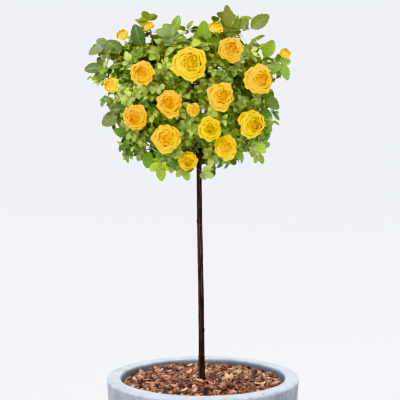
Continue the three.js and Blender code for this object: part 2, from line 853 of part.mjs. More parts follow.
const random = seeded(SEED);
const masses = makeMasses();
const outlineLeaves = makeOutlineSprays();
const blooms = makeBlooms(random, outlineLeaves);
const targets = [...blooms, ...outlineLeaves, ...makeSprays(random, blooms, outlineLeaves)];
shareOut(targets, masses);
const obstacles = makeObstacles(masses, blooms);

const part = new THREE.Group();
function add(name, geometry, material) {
  const mesh = new THREE.Mesh(geometry, material);
  mesh.name = name;
  part.add(mesh);
}

add("pot", turnedBody(potProfile(), pot.sides), concrete);
add("soil", makeSoil(), earth);
add("bark_mulch", makeMulch(makeStem(FIT)), barkChip);
add("stem", geometryFrom(makeStem()), rind);
for (const mass of masses) {
  add(`bough_${mass.name}`, makeBough(mass), rind);
  const own = targets.filter((target) => target.owner === mass);
  add(`foliage_${mass.name}`, geometryFrom(growMass(mass, masses, own, obstacles)), foliage);
}

export default part;
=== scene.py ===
import functools
import math

import bmesh
import bpy
import numpy as np
from mathutils import Matrix, Vector, noise
from numpy.linalg import norm


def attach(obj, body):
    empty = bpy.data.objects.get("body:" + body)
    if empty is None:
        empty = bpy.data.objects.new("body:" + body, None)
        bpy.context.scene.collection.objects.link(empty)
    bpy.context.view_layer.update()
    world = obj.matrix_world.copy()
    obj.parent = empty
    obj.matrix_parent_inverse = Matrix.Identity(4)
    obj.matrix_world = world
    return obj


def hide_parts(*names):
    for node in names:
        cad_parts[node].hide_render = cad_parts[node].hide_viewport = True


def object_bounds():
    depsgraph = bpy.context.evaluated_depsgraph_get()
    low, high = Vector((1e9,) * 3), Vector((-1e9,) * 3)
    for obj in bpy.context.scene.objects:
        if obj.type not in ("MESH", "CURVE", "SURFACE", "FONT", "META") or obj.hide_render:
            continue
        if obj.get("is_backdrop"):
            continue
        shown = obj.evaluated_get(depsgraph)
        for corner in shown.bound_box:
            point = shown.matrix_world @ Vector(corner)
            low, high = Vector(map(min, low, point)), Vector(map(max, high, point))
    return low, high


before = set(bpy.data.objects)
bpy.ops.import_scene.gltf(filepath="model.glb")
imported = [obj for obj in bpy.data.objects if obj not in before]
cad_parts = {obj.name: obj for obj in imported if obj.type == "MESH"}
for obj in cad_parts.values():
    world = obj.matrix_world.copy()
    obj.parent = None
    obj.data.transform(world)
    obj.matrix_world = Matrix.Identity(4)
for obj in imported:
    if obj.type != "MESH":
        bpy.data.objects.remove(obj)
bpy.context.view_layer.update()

# Pot
# A round planter cast in pale grey concrete. The edges of its thick rim are rounded, a tall band
# steps in to a tapering body, and air trapped against the mould leaves small holes.
pot_height = 0.420
rim_radius = 0.250
rim_width = 0.037
rim_round = 0.0085
band_foot = 0.292
band_radius = 0.242
band_round = 0.0025
step_slope = 0.009
body_radius = 0.231
foot_radius = 0.188
foot_round = 0.012
inner_foot = 0.162
pot_floor = 0.030
pot_sides = 120
# The painted light on the rim's top face starts between these heights. The painted shade on the
# inside ends between these radii, above a height, because the tapering foot is as narrow outside.
lit_rim_heights = (0.409, 0.4165)
shaded_inside_radius = (0.2125, 0.2165)
inside_shade_foot = 0.25


def linear(code):
    """A colour written as an sRGB hex value, as the shader's linear red, green, blue and alpha."""
    shares = [int(code[i : i + 2], 16) / 255 for i in (1, 3, 5)]
    return [s / 12.92 if s <= 0.04045 else ((s + 0.055) / 1.055) ** 2.4 for s in shares] + [1.0]


def add_node(tree, kind, settings, links=None):
    """A node with its settings, by property or socket, and the outputs that its sockets take."""
    made = tree.nodes.new("ShaderNode" + kind)
    for key, value in settings.items():
        if isinstance(key, str) and hasattr(made, key):
            setattr(made, key, value)
        else:
            made.inputs[key].default_value = value
    join(made, links or {})
    return made


def join(node, links):
    """A node's sockets take these outputs, or the first one in use of these nodes."""
    for key, source in links.items():
        if isinstance(source, bpy.types.Node):
            source = next(output for output in source.outputs if output.enabled)
        node.id_data.links.new(source, node.inputs[key])


def new_finish(name, **sockets):
    """A material with what is the same all over, what adds its nodes, its shader and a point's place."""
    material = bpy.data.materials.new(name)
    material.use_nodes = True
    shader = material.node_tree.nodes["Principled BSDF"]
    for key, value in sockets.items():
        shader.inputs[key.replace("_", " ")].default_value = value
    add = functools.partial(add_node, material.node_tree)
    return material, add, shader, add("TexCoord", {}).outputs["Object"]


def marks_on(add, place, scale, share, size, most):
    """Small round marks: the share of cells without one, their inner and outer size, and how strong."""
    cells = add("TexVoronoi", {"Scale": scale}, {"Vector": place})
    chance = add("SeparateColor", {}, {"Color": cells.outputs["Color"]})
    few = add("Math", {"operation": "GREATER_THAN", 1: share}, {0: chance})
    near = add(
        "MapRange", {"From Min": size[0], "From Max": size[1], "To Min": most, "To Max": 0.0},
        {"Value": cells},
    )
    return add("Math", {"operation": "MULTIPLY"}, {0: few, 1: near})


def set_down(name, data):
    """An object in the scene for a mesh, a curve, a lamp or a camera."""
    placed = bpy.data.objects.new(name, data)
    bpy.context.scene.collection.objects.link(placed)
    return placed


def finished_mesh(name, body):
    """A mesh of a body's shape, after which the body isn't needed."""
    mesh = bpy.data.meshes.new(name)
    body.to_mesh(mesh)
    body.free()
    return mesh


def dress(name, mesh, material, slot, *nodes):
    """A finished piece of the plant or its pot, which stands for these nodes of the model."""
    piece = set_down(name, mesh)
    mesh.materials.clear()
    mesh.materials.append(material)
    mesh.polygons.foreach_set("use_smooth", [True] * len(mesh.polygons))
    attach(piece, "root")
    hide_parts(*nodes)
    return piece


def turned_body(profile, steps):
    """A round body spun from a profile of radius and height, closed on its axis."""
    body = bmesh.new()
    points = [body.verts.new((radius, 0, height)) for radius, height in profile]
    edges = [body.edges.new(pair) for pair in zip(points, points[1:])]
    bmesh.ops.spin(
        body, geom=points + edges, cent=(0, 0, 0), axis=(0, 0, 1), angle=2 * math.pi, steps=steps,
        use_merge=True,
    )
    bmesh.ops.remove_doubles(body, verts=body.verts[:], dist=1e-5)
    bmesh.ops.recalc_face_normals(body, faces=body.faces[:])
    return body


def bevel_edges(body, edges, size, segments):
    """Edges cut back by a size, in one flat or in a round of several segments."""
    bmesh.ops.bevel(
        body, geom=edges, offset=size, segments=segments, profile=0.5, affect="EDGES", material=-1
    )


def ring_edges(body, radius, height):
    """The edges of a turned body that lie on one circle."""

    def on_circle(vert):
        return abs(math.hypot(vert.co.x, vert.co.y) - radius) < 1e-4 and abs(vert.co.z - height) < 1e-4

    return [edge for edge in body.edges if all(on_circle(vert) for vert in edge.verts)]


pot_body = turned_body(
    [
        (0, 0),
        (foot_radius, 0),
        (body_radius, band_foot - step_slope),
        (band_radius, band_foot),
        (rim_radius, pot_height),
        (rim_radius - rim_width, pot_height),
        (inner_foot, pot_floor),
        (0, pot_floor),
    ],
    pot_sides,
)
for radius, height, size, segments in (
    (rim_radius, pot_height, rim_round, 5),
    (rim_radius - rim_width, pot_height, rim_round, 5),
    (foot_radius, 0, foot_round, 4),
    (band_radius, band_foot, band_round, 3),
):
    bevel_edges(pot_body, ring_edges(pot_body, radius, height), size, segments)
pot_mesh = finished_mesh("concrete_pot", pot_body)

# Cast concrete: matt and faintly blue, clouded over 5 to 10 cm. The rim's top is painted pale as painted
# light from above, the wall is painted greyer as painted shade and has dark runs about 12 mm apart, and the
# inside is painted darker as painted shade in the pot's hollow. Its pores are 3 to 5 mm wide and painted
# dark as painted shade, and its grit, which is finer than a millimetre, is drawn at 1.6 mm to show.
concrete, add, shader, place = new_finish("cast_concrete", Roughness=0.78)
cloud = add("TexNoise", {"Scale": 17.0, "Detail": 8.0, "Roughness": 0.68}, {"Vector": place})
grit = add("TexNoise", {"Scale": 620.0, "Detail": 3.0}, {"Vector": place})
drawn = add("Mapping", {"Scale": (85.0, 85.0, 3.0)}, {"Vector": place})
runs = add("TexNoise", {"Scale": 1.0, "Detail": 5.0}, {"Vector": drawn})
hole = marks_on(add, place, 52.0, 0.72, (0.08, 0.14), 1.0)
cloudy = add("MapRange", {"From Min": 0.36, "From Max": 0.64}, {"Value": cloud})
# The wall is painted darker than the rim as painted shade on its upright face; the clouds are the concrete's
# own.
shaded_wall = add("Mix", {"data_type": "RGBA", 6: linear("#666b73"), 7: linear("#878b94")}, {0: cloudy})
run_share = add("MapRange", {"From Min": 0.54, "From Max": 0.72, "To Max": 0.5}, {"Value": runs})
streaked = add("Mix", {"data_type": "RGBA", 7: linear("#565863")}, {0: run_share, 6: shaded_wall})
# The rim's top face is painted paler as painted light from above.
rim = add("Mix", {"data_type": "RGBA", 6: linear("#8e959c"), 7: linear("#b9bec4")}, {0: cloudy})
split = add("SeparateXYZ", {}, {0: place})
level = add("MapRange", {"From Min": lit_rim_heights[0], "From Max": lit_rim_heights[1]}, {"Value": split.outputs[2]})
ground = add("Mix", {"data_type": "RGBA"}, {0: level, 6: streaked, 7: rim})
flat = add("Mapping", {"Scale": (1.0, 1.0, 0.0)}, {"Vector": place})
from_axis = add("VectorMath", {"operation": "LENGTH"}, {0: flat})
# The inside wall above the mulch is darkened as painted shade in the pot's hollow.
inside_shade = add(
    "MapRange",
    {"From Min": shaded_inside_radius[0], "From Max": shaded_inside_radius[1], "To Min": 0.45, "To Max": 1.0},
    {"Value": from_axis},
)
foot_half = add("Math", {"operation": "LESS_THAN", 1: inside_shade_foot}, {0: split.outputs[2]})
inside_shade_factor = add("Math", {"operation": "MAXIMUM"}, {0: inside_shade, 1: foot_half})
inside_shaded = add("Mix", {"data_type": "RGBA", "blend_type": "MULTIPLY", 0: 1.0}, {6: ground, 7: inside_shade_factor})
grit_share = add("MapRange", {"From Min": 0.4, "From Max": 0.75, "To Max": 0.18}, {"Value": grit})
gritty = add("Mix", {"data_type": "RGBA", 7: linear("#dfe4ea")}, {0: grit_share, 6: inside_shaded})
# The pores are painted dark as painted shade in the holes.
pore_shaded = add("Mix", {"data_type": "RGBA", 7: linear("#43474e")}, {0: hole, 6: gritty})
sunk = add("Math", {"operation": "MULTIPLY_ADD", 1: -4.0}, {0: hole, 2: grit})
relief = add("Bump", {"Strength": 0.5, "Distance": 0.0006}, {"Height": sunk})
join(shader, {"Base Color": pore_shaded, "Normal": relief})
dress("concrete_pot", pot_mesh, concrete, "concrete", "pot")

# Soil
# Dark potting soil that fills the pot to below the bark. It keeps the shape that the model gives
# it, with crumbs about 4 mm across.
soil_finish, add, shader, place = new_finish("potting_soil", Roughness=0.95)
crumbs = add("TexNoise", {"Scale": 240.0, "Detail": 5.0}, {"Vector": place})
soil_colour = add("Mix", {"data_type": "RGBA", 6: linear("#1f1510"), 7: linear("#4a3527")}, {0: crumbs})
relief = add("Bump", {"Strength": 0.8, "Distance": 0.003}, {"Height": crumbs})
join(shader, {"Base Color": soil_colour, "Normal": relief})
for soil_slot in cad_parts["soil"].material_slots:
    soil_slot.material = soil_finish

# Bark mulch
# Chips of pine bark about 2 cm long, shovelled over the soil in a loose layer and heaped a
# little to the stem. Each is a torn flake with chipped edges, red-brown to tan, and some grey.
mulch_radius = 0.2095
mulch_edge = 0.398
mulch_heap = 0.009
chip_colours = [
    "#7a4c3a", "#8f6049", "#5d382b", "#a9785c", "#6a4334", "#c39a7c", "#84553f", "#4a2b22",
    "#99694f", "#6f5044", "#38211a", "#b98a6c", "#5a4036", "#8a6a5a", "#a46f52", "#d0ac90",
]
chip_kinds = 8
chip_count = 2500
chip_corner = 0.22
chip_length = 0.012
chip_extra = 0.015
chip_margin = 0.007
chip_sunk = 0.007
chip_pile = 0.013
# A dark sheet under the chips as painted shade in their cracks: its radius, foot, depth and sides.
shade_sheet_radius = 0.2050
shade_sheet_foot = 0.3625
shade_sheet_sunk = 0.006
shade_sheet_sides = 64
golden_angle = math.pi * (3 - math.sqrt(5))


def seeded(seed):
    """Numbers between 0 and 1 that are the same each time."""
    state = [seed]

    def draw():
        state[0] = state[0] * 16807 % 2147483647
        return state[0] / 2147483647

    return draw


def grained_tint(add, place, grain, darkest, palest):
    """The tint that each copy carries, varied by a grain, and the grain itself."""
    tint = add("Attribute", {"attribute_name": "tint"})
    grain = add("TexNoise", grain, {"Vector": place})
    share = add(
        "MapRange", {"From Min": 0.3, "From Max": 0.7, "To Min": darkest, "To Max": palest},
        {"Value": grain},
    )
    blend = {"data_type": "RGBA", "blend_type": "MULTIPLY", 0: 1.0}
    return add("Mix", blend, {6: tint, 7: share}), grain


def mulch_height(radius):
    """The height of the mulch at a distance from the stem."""
    return mulch_edge + mulch_heap * (1 - (radius / mulch_radius) ** 2)


def read_shape(body):
    """The points and faces of a shape that will be repeated, after which it isn't needed."""
    body.verts.ensure_lookup_table()
    points = np.array([vert.co for vert in body.verts])
    faces = [[vert.index for vert in face.verts] for face in body.faces]
    body.free()
    return points, faces


def joined_mesh(name, copies, marks=None):
    """One mesh of many copies: each has its points, its faces and the tint of its points."""
    starts = np.cumsum([0] + [len(points) for points, _, _ in copies])
    points = np.concatenate([points for points, _, _ in copies])
    faces = []
    for start, (_, shape, _) in zip(starts.tolist(), copies):
        faces.extend([[start + corner for corner in face] for face in shape])
    mesh = bpy.data.meshes.new(name)
    mesh.from_pydata(points.tolist(), [], faces)
    tints = np.concatenate(
        [np.broadcast_to(np.asarray(tint, float), (len(points), 4)) for points, _, tint in copies]
    )
    shade = mesh.color_attributes.new(name="tint", type="FLOAT_COLOR", domain="POINT")
    shade.data.foreach_set("color", tints.astype(np.float32).ravel())
    if marks is not None:
        corners = np.zeros(len(mesh.loops), int)
        mesh.loops.foreach_get("vertex_index", corners)
        placed = np.concatenate(marks)[corners]
        layer = mesh.uv_layers.new(name="UVMap")
        layer.data.foreach_set("uv", placed.astype(np.float32).ravel())
    return mesh


def upright_edges(body):
    """The long edges of a unit body that run from its foot to its top."""
    return [edge for edge in body.edges if abs(edge.verts[0].co.z - edge.verts[1].co.z) > 0.5]


draw = seeded(7)
chip_shapes = []
for kind in range(chip_kinds):
    flake = bmesh.new()
    bmesh.ops.create_cube(flake, size=1.0)
    bevel_edges(flake, upright_edges(flake), chip_corner, 1)
    for vert in flake.verts:
        vert.co.x *= 1.0 + 0.34 * (draw() - 0.5)
        vert.co.y *= 0.5 + 0.3 * (draw() - 0.5)
        vert.co.z *= 0.16 + 0.14 * (draw() - 0.5)
        vert.co.z += (0.9 * vert.co.x**2 - 0.1) * (0.2 + 0.6 * (kind % 3)) + 0.1 * (draw() - 0.5)
    chip_shapes.append(read_shape(flake))

chips = []
for i in range(chip_count):
    radius = (mulch_radius - chip_margin) * math.sqrt((i + 0.5) / chip_count)
    around = i * golden_angle + 0.7 * draw()
    points, faces = chip_shapes[i % chip_kinds]
    length = chip_length + chip_extra * draw() ** 1.4
    turn = (
        Matrix.Rotation(2 * math.pi * draw(), 3, "Z")
        @ Matrix.Rotation(2.2 * (draw() - 0.5), 3, "X")
        @ Matrix.Rotation(1.6 * (draw() - 0.5), 3, "Y")
    )
    reach = min(radius, mulch_radius - 0.55 * length)
    centre = (
        reach * math.cos(around),
        reach * math.sin(around),
        mulch_height(radius) - chip_sunk + chip_pile * draw(),
    )
    shade = np.array(linear(chip_colours[int(draw() * len(chip_colours))])) * (0.7 + 0.65 * draw())
    chips.append((points * length @ np.array(turn).T + centre, faces, shade))

# A dark sheet lies under the chips as painted shade, which shows in the cracks between them.
shade_sheet_top = [
    (mulch_radius * share, mulch_height(mulch_radius * share) - shade_sheet_sunk)
    for share in (1, 0.75, 0.5, 0.25, 0)
]
shade_sheet = turned_body([(0, shade_sheet_foot), (shade_sheet_radius, shade_sheet_foot), *shade_sheet_top], shade_sheet_sides)
shade_sheet_points, shade_sheet_faces = read_shape(shade_sheet)
chips.append((shade_sheet_points, shade_sheet_faces, linear("#1a0f0b")))
mulch_mesh = joined_mesh("bark_chips", chips)

# Torn pine bark: dull and fibrous, with layers under a millimetre thick, drawn at 3 mm to show.
bark_chip, add, shader, place = new_finish("pine_bark_chips", Roughness=0.82)
torn = {"Scale": 320.0, "Detail": 4.0, "Distortion": 1.2}
chip_colour, fibre = grained_tint(add, place, torn, 0.5, 1.35)
relief = add("Bump", {"Strength": 0.6, "Distance": 0.0012}, {"Height": fibre})
join(shader, {"Base Color": chip_colour, "Normal": relief})
mulch = dress("bark_chips", mulch_mesh, bark_chip, "bark_mulch", "bark_mulch")
mulch.data.polygons.foreach_set("use_smooth", [False] * len(mulch.data.polygons))

# Stem
# One straight rootstock cane, cut flat at the soil in the model, with a slightly flared foot. It
# leans a little to the left, carries old leaf scars, and ends in the knuckle that was budded.
stem_line = np.array(
    [[-2.4, 0, 362.3], [-4.4, 0, 607.0], [-8.4, 0, 820.0], [-9.6, 0, 930.0], [-10.0, 0, 1000.0]]
)
stem_foot = 8.6
stem_top = 7.0
stem_flare = 2.4
stem_sides = 28
stem_rings = 220
ridge_depth = 0.35
knot_depth = 0.22
knuckle_radius = 17.0
scar_foot = 400
scar_spacing = 71.0
scar_height = 3.2
scar_width = 0.7
scar_depth = 1.3


def tube_body(sides, steps):
    """An upright closed tube of one unit's radius and length, ringed evenly."""
    body = bmesh.new()
    bmesh.ops.create_cone(
        body, cap_ends=True, cap_tris=False, segments=sides, radius1=1.0, radius2=1.0, depth=1.0
    )
    bmesh.ops.subdivide_edges(body, edges=upright_edges(body), cuts=steps - 1, use_grid_fill=False)
    return body


cane = tube_body(stem_sides, stem_rings)
for vert in cane.verts:
    share = vert.co.z + 0.5
    height = stem_line[0][2] + share * (stem_line[-1][2] - stem_line[0][2])
    angle = math.atan2(vert.co.y, vert.co.x)
    middle = np.interp(height, stem_line[:, 2], stem_line[:, 0])
    radius = stem_foot + (stem_top - stem_foot) * share + stem_flare * math.exp(-16 * share)
    ridges = noise.noise(Vector((2.2 * math.cos(angle), 2.2 * math.sin(angle), height / 90)))
    knots = noise.noise(Vector((math.cos(angle), math.sin(angle), height / 14 + 40)))
    scar = round((height - scar_foot) / scar_spacing)
    side = scar * 2.4 + 1.2
    turn = math.remainder(angle - side, 2 * math.pi)
    lift = (height - scar_foot - scar * scar_spacing) / scar_height
    swelling = scar_depth * math.exp(-lift * lift - (turn / scar_width) ** 2) if 0 < share < 0.97 else 0
    if 0 < share < 1:
        radius += ridge_depth * ridges + knot_depth * knots + swelling
    vert.co = Vector((middle + radius * math.cos(angle), radius * math.sin(angle), height)) * 0.001
knuckle = bmesh.ops.create_icosphere(cane, subdivisions=4, radius=1.0)["verts"]
for vert in knuckle:
    way = vert.co.normalized()
    lumps = 1 + 0.16 * noise.noise(way * 2.1) + 0.07 * noise.noise(way * 5.3)
    size = knuckle_radius * (0.94 * lumps - 0.1 * abs(way.z))
    vert.co = (Vector(stem_line[-1]) + way * size) * 0.001
stem_mesh = finished_mesh("stem_cane", cane)

# Bark of a two-year cane: dark brown with lengthwise grey-brown streaks 2 to 4 mm wide, and small
# pale breathing pores.
cane_bark, add, shader, place = new_finish("brown_cane_bark", Roughness=0.7, Specular_IOR_Level=0.3)
drawn = add("Mapping", {"Scale": (330.0, 330.0, 17.0)}, {"Vector": place})
streaks = add("TexNoise", {"Scale": 1.0, "Detail": 5.0}, {"Vector": drawn})
streak_share = add("MapRange", {"From Min": 0.50, "From Max": 0.68}, {"Value": streaks})
bark_ground = add("Mix", {"data_type": "RGBA", 6: linear("#160c09"), 7: linear("#5c4238")}, {0: streak_share})
wide = add("Mapping", {"Scale": (150.0, 150.0, 230.0)}, {"Vector": place})
dot = marks_on(add, wide, 1.0, 0.82, (0.12, 0.2), 0.8)
bark_colour = add("Mix", {"data_type": "RGBA", 7: linear("#a08a7c")}, {0: dot, 6: bark_ground})
relief = add("Bump", {"Strength": 0.5, "Distance": 0.0008}, {"Height": streaks})
join(shader, {"Base Color": bark_colour, "Normal": relief})
dress("stem_cane", stem_mesh, cane_bark, "stem_bark", "stem")

# Boughs
# Nine main boughs that grew from buds on the knuckle, in a low and a high ring. Each is a young
# woody cane that tapers from 8 to 6 mm, and ends where its mass of leaves begins.
crown_centre = np.array([-38.0, 0.0, 1150.0])
head = stem_line[-1]
UP = np.array([0.0, 0.0, 1.0])
bough_rings = [("low", 5, 150, 1062, 8), ("high", 4, 122, 1238, 62)]
bough_reach = 0.5
bough_bend = 0.25
bough_foot = 4.2
bough_tip = 2.9
bough_lumps = 0.3
lump_length = 7


def unit(way):
    return way / norm(way)


def bend_through(start, middle, end, share):
    """A point on the curve from a start to an end that leans to a middle point."""
    share = np.asarray(share)[..., None]
    return (1 - share) ** 2 * start + 2 * share * (1 - share) * middle + share**2 * end


# Each ring has its number of boughs, the radius and height of its masses' middles, and the rise of
# its boughs on their way there.
masses = []
for ring, count, radius, height, rise in bough_rings:
    for i in range(count):
        angle = math.radians(-90 + 360 * i / count)
        centre = np.array([crown_centre[0] + radius * math.cos(angle), radius * math.sin(angle), height])
        tip = head + (centre - head) * bough_reach
        bend = (head + tip) / 2 + UP * rise * bough_bend
        masses.append({"name": f"{ring}_{i + 1}", "centre": centre, "bend": bend, "tip": tip})

bough_shapes = []
for mass in masses:
    limb = tube_body(14, 36)
    for vert in limb.verts:
        share = vert.co.z + 0.5
        angle = math.atan2(vert.co.y, vert.co.x)
        middle = bend_through(head, mass["bend"], mass["tip"], share)
        ahead = unit((1 - share) * (mass["bend"] - head) + share * (mass["tip"] - mass["bend"]))
        side = unit(np.cross(ahead, UP))
        over = np.cross(side, ahead)
        radius = bough_foot + (bough_tip - bough_foot) * share
        if 0 < share < 1:
            lumps = noise.noise(Vector(middle / lump_length + side * math.cos(angle)))
            radius += bough_lumps * lumps
        vert.co = Vector((middle + radius * (math.cos(angle) * side + math.sin(angle) * over)) * 0.001)
    bough_shapes.append((*read_shape(limb), (1, 1, 1, 1)))
bough_mesh = joined_mesh("boughs", bough_shapes)

# Rind of a one-year cane: green under a brown skin that splits into patches about 1 cm long.
bough_rind, add, shader, place = new_finish("young_cane_rind", Roughness=0.5)
skin = add("TexNoise", {"Scale": 90.0, "Detail": 5.0, "Distortion": 0.6}, {"Vector": place})
skin_share = add("MapRange", {"From Min": 0.38, "From Max": 0.64}, {"Value": skin})
rind_colour = add("Mix", {"data_type": "RGBA", 6: linear("#3a241b"), 7: linear("#5a4a30")}, {0: skin_share})
relief = add("Bump", {"Strength": 0.4, "Distance": 0.0006}, {"Height": skin})
join(shader, {"Base Color": rind_colour, "Normal": relief})
dress("boughs", bough_mesh, bough_rind, "bough_bark", *[f"bough_{mass['name']}" for mass in masses])

# Twigs
# Each mass of leaves branches from the tip of its bough by the same seeded rule as the model:
# twigs reach blooms and leaves, the nearest first, each from the joint that suits it best.
crown_half = np.array([238.0, 228.0, 200.0])
crown_power = 2.4
FRONT = np.array([0.0, -1.0, 0.0])
# The blooms of the front: x, z, width, how far each looks up, and its colour.
front_blooms = [
    (-32, 1245, 88, 0.12, "#f2c81e"),
    (66, 1277, 65, 0.1, "#f5b83c"),
    (139, 1201, 76, 0.15, "#ffc400"),
    (-150, 1222, 61, 0.12, "#f8bb28"),
    (-84, 1149, 66, 0.2, "#f5b42e"),
    (44, 1165, 69, 0.15, "#f8be35"),
    (-168, 1112, 61, 0.15, "#f7b32b"),
    (-90, 1061, 73, 0.2, "#ffc600"),
    (16, 1085, 60, 0.2, "#e6bd1e"),
    (122, 1094, 71, 0.15, "#f0c21a"),
    (56, 1036, 61, 0.3, "#ffcc10"),
    (-37, 999, 50, 0.1, "#edb70c"),
    # The buds' colours are paler than the blooms', partly as painted light against the shade their tight
    # petals cast on one another.
    (-24, 1132, 32, 0.2, "#fcc860"),
    (-229, 1188, 39, 0.32, "#ffd850"),
    (-203, 1307, 33, 0.4, "#ffd650"),
    (-135, 1331, 27, 0.5, "#ffcc4c"),
    (32, 1328, 35, 0.4, "#ffd84e"),
    (210, 1258, 30, 0.4, "#ffd250"),
]
# The sprays that stand out of the outline: x and z of the tip, how far each stands to the front,
# its turn, the length of its end leaf, and its colour.
outline_sprays = [
    (166, 1356, 40, 37, 58, "#676b24"),
    (62, 1376, 40, 94, 54, "#696c22"),
    (4, 1344, 90, 88, 60, "#6f8426"),
    (-63, 1357, 75, 80, 42, "#758720"),
    (-118, 1322, 110, 160, 40, "#697945"),
    (-172, 1333, 60, 108, 62, "#3a4f19"),
    (-243, 1290, 50, 146, 50, "#536426"),
    (-292, 1257, 10, 200, 46, "#656f4c"),
    (-301, 1217, 20, 184, 46, "#637041"),
    (-233, 1120, 60, 185, 42, "#546c2d"),
    (-259, 1078, 20, 207, 54, "#6a7542"),
    (-227, 1066, 50, 164, 38, "#5a762c"),
    (-142, 966, 40, 262, 46, "#6f8d24"),
    (-107, 934, 50, 268, 42, "#a2b43a"),
    (100, 988, 60, 297, 30, "#95ac4c"),
    (161, 1008, 40, 321, 40, "#a3b84e"),
    (172, 1066, 30, 50, 42, "#769747"),
    (178, 1096, 20, 338, 42, "#5e8b37"),
    (196, 1120, 20, 331, 48, "#677f39"),
    (178, 1292, 30, 60, 50, "#77881e"),
    (219, 1189, 10, 300, 48, "#799737"),
]
ruled_tints = ["#f2cc1e", "#f5b83c", "#ffcc00", "#f5b42e", "#ffd700", "#f7b32b", "#e8c41e"]
ruled_count = 36
spray_count = 365
inner_count = 420
spray_layers = [0.86, 0.74, 0.82, 0.62]
spray_turns = [0, 60, -60, 120, -120, 180]
leaf_length = 73.0
bloom_gap = 22
leaf_gap = 40
mass_gap = 26
limb_gap = 5
joint_tries = 6
joint_shares = (0.35, 0.7)
bloom_stalk = 1.35
leaf_stalk = 0.85
thinnest_joint = 0.9
bloom_depth = 0.93
bloom_width = 48
bloom_extra = 26
fork_reach = 30
fork_radii = [2.9, 2.6, 2.1]
fork_room = 5
inner_reach = (10, 110)
edge_limit = 1.05


def spread(count, index):
    """Directions spread evenly over a ball, each turned on from the last."""
    height = 1 - (2 * index + 1) / count
    level = math.sqrt(1 - height * height)
    return np.array([level * math.cos(index * golden_angle), level * math.sin(index * golden_angle), height])


def outward_share(point):
    """How far out a point lies: 1 is on the crown's rounded outline."""
    return float((np.abs((point - crown_centre) / crown_half) ** crown_power).sum() ** (1 / crown_power))


def outline_point(way, share):
    return crown_centre + way * share / outward_share(crown_centre + way)


def front_depth(x, z):
    """How far to the front the crown's outline lies at a place that the front shows."""
    left = 1 - abs((x - crown_centre[0]) / crown_half[0]) ** crown_power
    left -= abs((z - crown_centre[2]) / crown_half[2]) ** crown_power
    return crown_half[1] * max(left, 0) ** (1 / crown_power)


def bloom_target(centre, facing, across, tint):
    radius = across / 2
    spot = centre - facing * (0.6 * radius + 20)
    return {"kind": "bloom", "centre": centre, "heading": facing, "radius": radius, "place": spot,
            "fixed": True, "tint": tint, "length": 0.0}


def square_to(heading, face):
    """The way that faces as asked, but square to a heading."""
    return unit(face - heading * face.dot(heading))


def spray_target(spot, heading, length, fixed, tint=None):
    face = unit(spot - crown_centre) + 0.5 * UP + (1.6 if fixed else 0.1) * FRONT
    face = square_to(heading, face)
    return {"kind": "spray", "heading": heading, "face": face, "length": length, "place": spot,
            "fixed": fixed, "tint": tint}


def swayed():
    """A small turn to any side, by three draws."""
    return np.array([draw() - 0.5, draw() - 0.5, draw() - 0.5])


draw = seeded(41)
outline_leaves = []
for x, z, front, turn, length, tint in outline_sprays:
    way = np.array([math.cos(math.radians(turn)), 0, math.sin(math.radians(turn))])
    outline_leaves.append(spray_target(np.array([x, -front, z]) - way * length, way, length, True, tint))

blooms = []
for x, z, across, lift, tint in front_blooms:
    centre = np.array([x, -bloom_depth * front_depth(x, z), z])
    facing = unit(FRONT * (1 - lift) + UP * lift + 0.35 * unit(centre - crown_centre))
    blooms.append(bloom_target(centre, facing, across, tint))
front_count = len(blooms)
for i in range(ruled_count):
    way = spread(ruled_count, i)
    centre = outline_point(way, 0.83 if way[1] < 0.45 else 0.9)
    across = bloom_width + bloom_extra * draw()
    crowded = any(
        norm(other["centre"] - centre) < other["radius"] + across / 2 + bloom_gap
        for other in blooms
    ) or any(norm(leaf["place"] - centre) < across / 2 + leaf_gap for leaf in outline_leaves)
    if way[1] > 0.1 and way[2] > -0.72 and not crowded:
        blooms.append(bloom_target(centre, unit(way + 0.3 * UP), across, ruled_tints[i % len(ruled_tints)]))

sprays = []
for i in range(spray_count):
    sway = swayed()
    length = leaf_length * (0.86 + 0.28 * draw())
    way = unit(spread(spray_count, i) + 0.1 * sway)
    spot = outline_point(way, spray_layers[i % len(spray_layers)])
    heading = unit(0.4 * way + 1.9 * sway + 0.15 * UP)
    near_leaf = any(norm(leaf["place"] - spot) < leaf_gap for leaf in outline_leaves)
    near_bloom = any(norm(other["centre"] - spot) < other["radius"] + 10 for other in blooms)
    if not near_leaf and not near_bloom:
        sprays.append(spray_target(spot, heading, length, False))

mass_centres = np.array([mass["centre"] for mass in masses])


def mass_at(point):
    """The number of the mass whose space holds a point, which is the one with the nearest centre."""
    return int(np.argmin(norm(mass_centres - point, axis=1)))


# Sprays near a border between two masses are drawn back from it.
targets = blooms + outline_leaves + sprays
for target in targets:
    target["owner"] = mass_at(target["place"] + target["heading"] * target["length"] * 0.42)
    if target["fixed"]:
        continue
    own = mass_centres[target["owner"]]
    for other in mass_centres:
        gap = other - own
        if norm(gap) > 0:
            away = norm(gap) / 2 - (target["place"] - own).dot(unit(gap))
            if away < mass_gap:
                target["place"] = target["place"] - unit(gap) * (mass_gap - away)

# Twigs keep clear of the boughs, the knuckle, the stem's top and the blooms: a point, the room round
# it, and the bloom's number or -1.
watched = [
    (bend_through(head, mass["bend"], mass["tip"], share), bough_foot + limb_gap, -1)
    for mass in masses
    for share in np.linspace(0, 1, 11)
]
watched += [(head - UP * down, knuckle_radius + limb_gap, -1) for down in range(0, 121, 8)]
watched += [(target["centre"], target["radius"] * 1.02, number) for number, target in enumerate(blooms)]
watch_points, watch_radii, watch_of = (np.array(column) for column in zip(*watched))
front_centres = np.array([target["centre"] for target in blooms[:front_count]])
front_radii = np.array([target["radius"] for target in blooms[:front_count]])


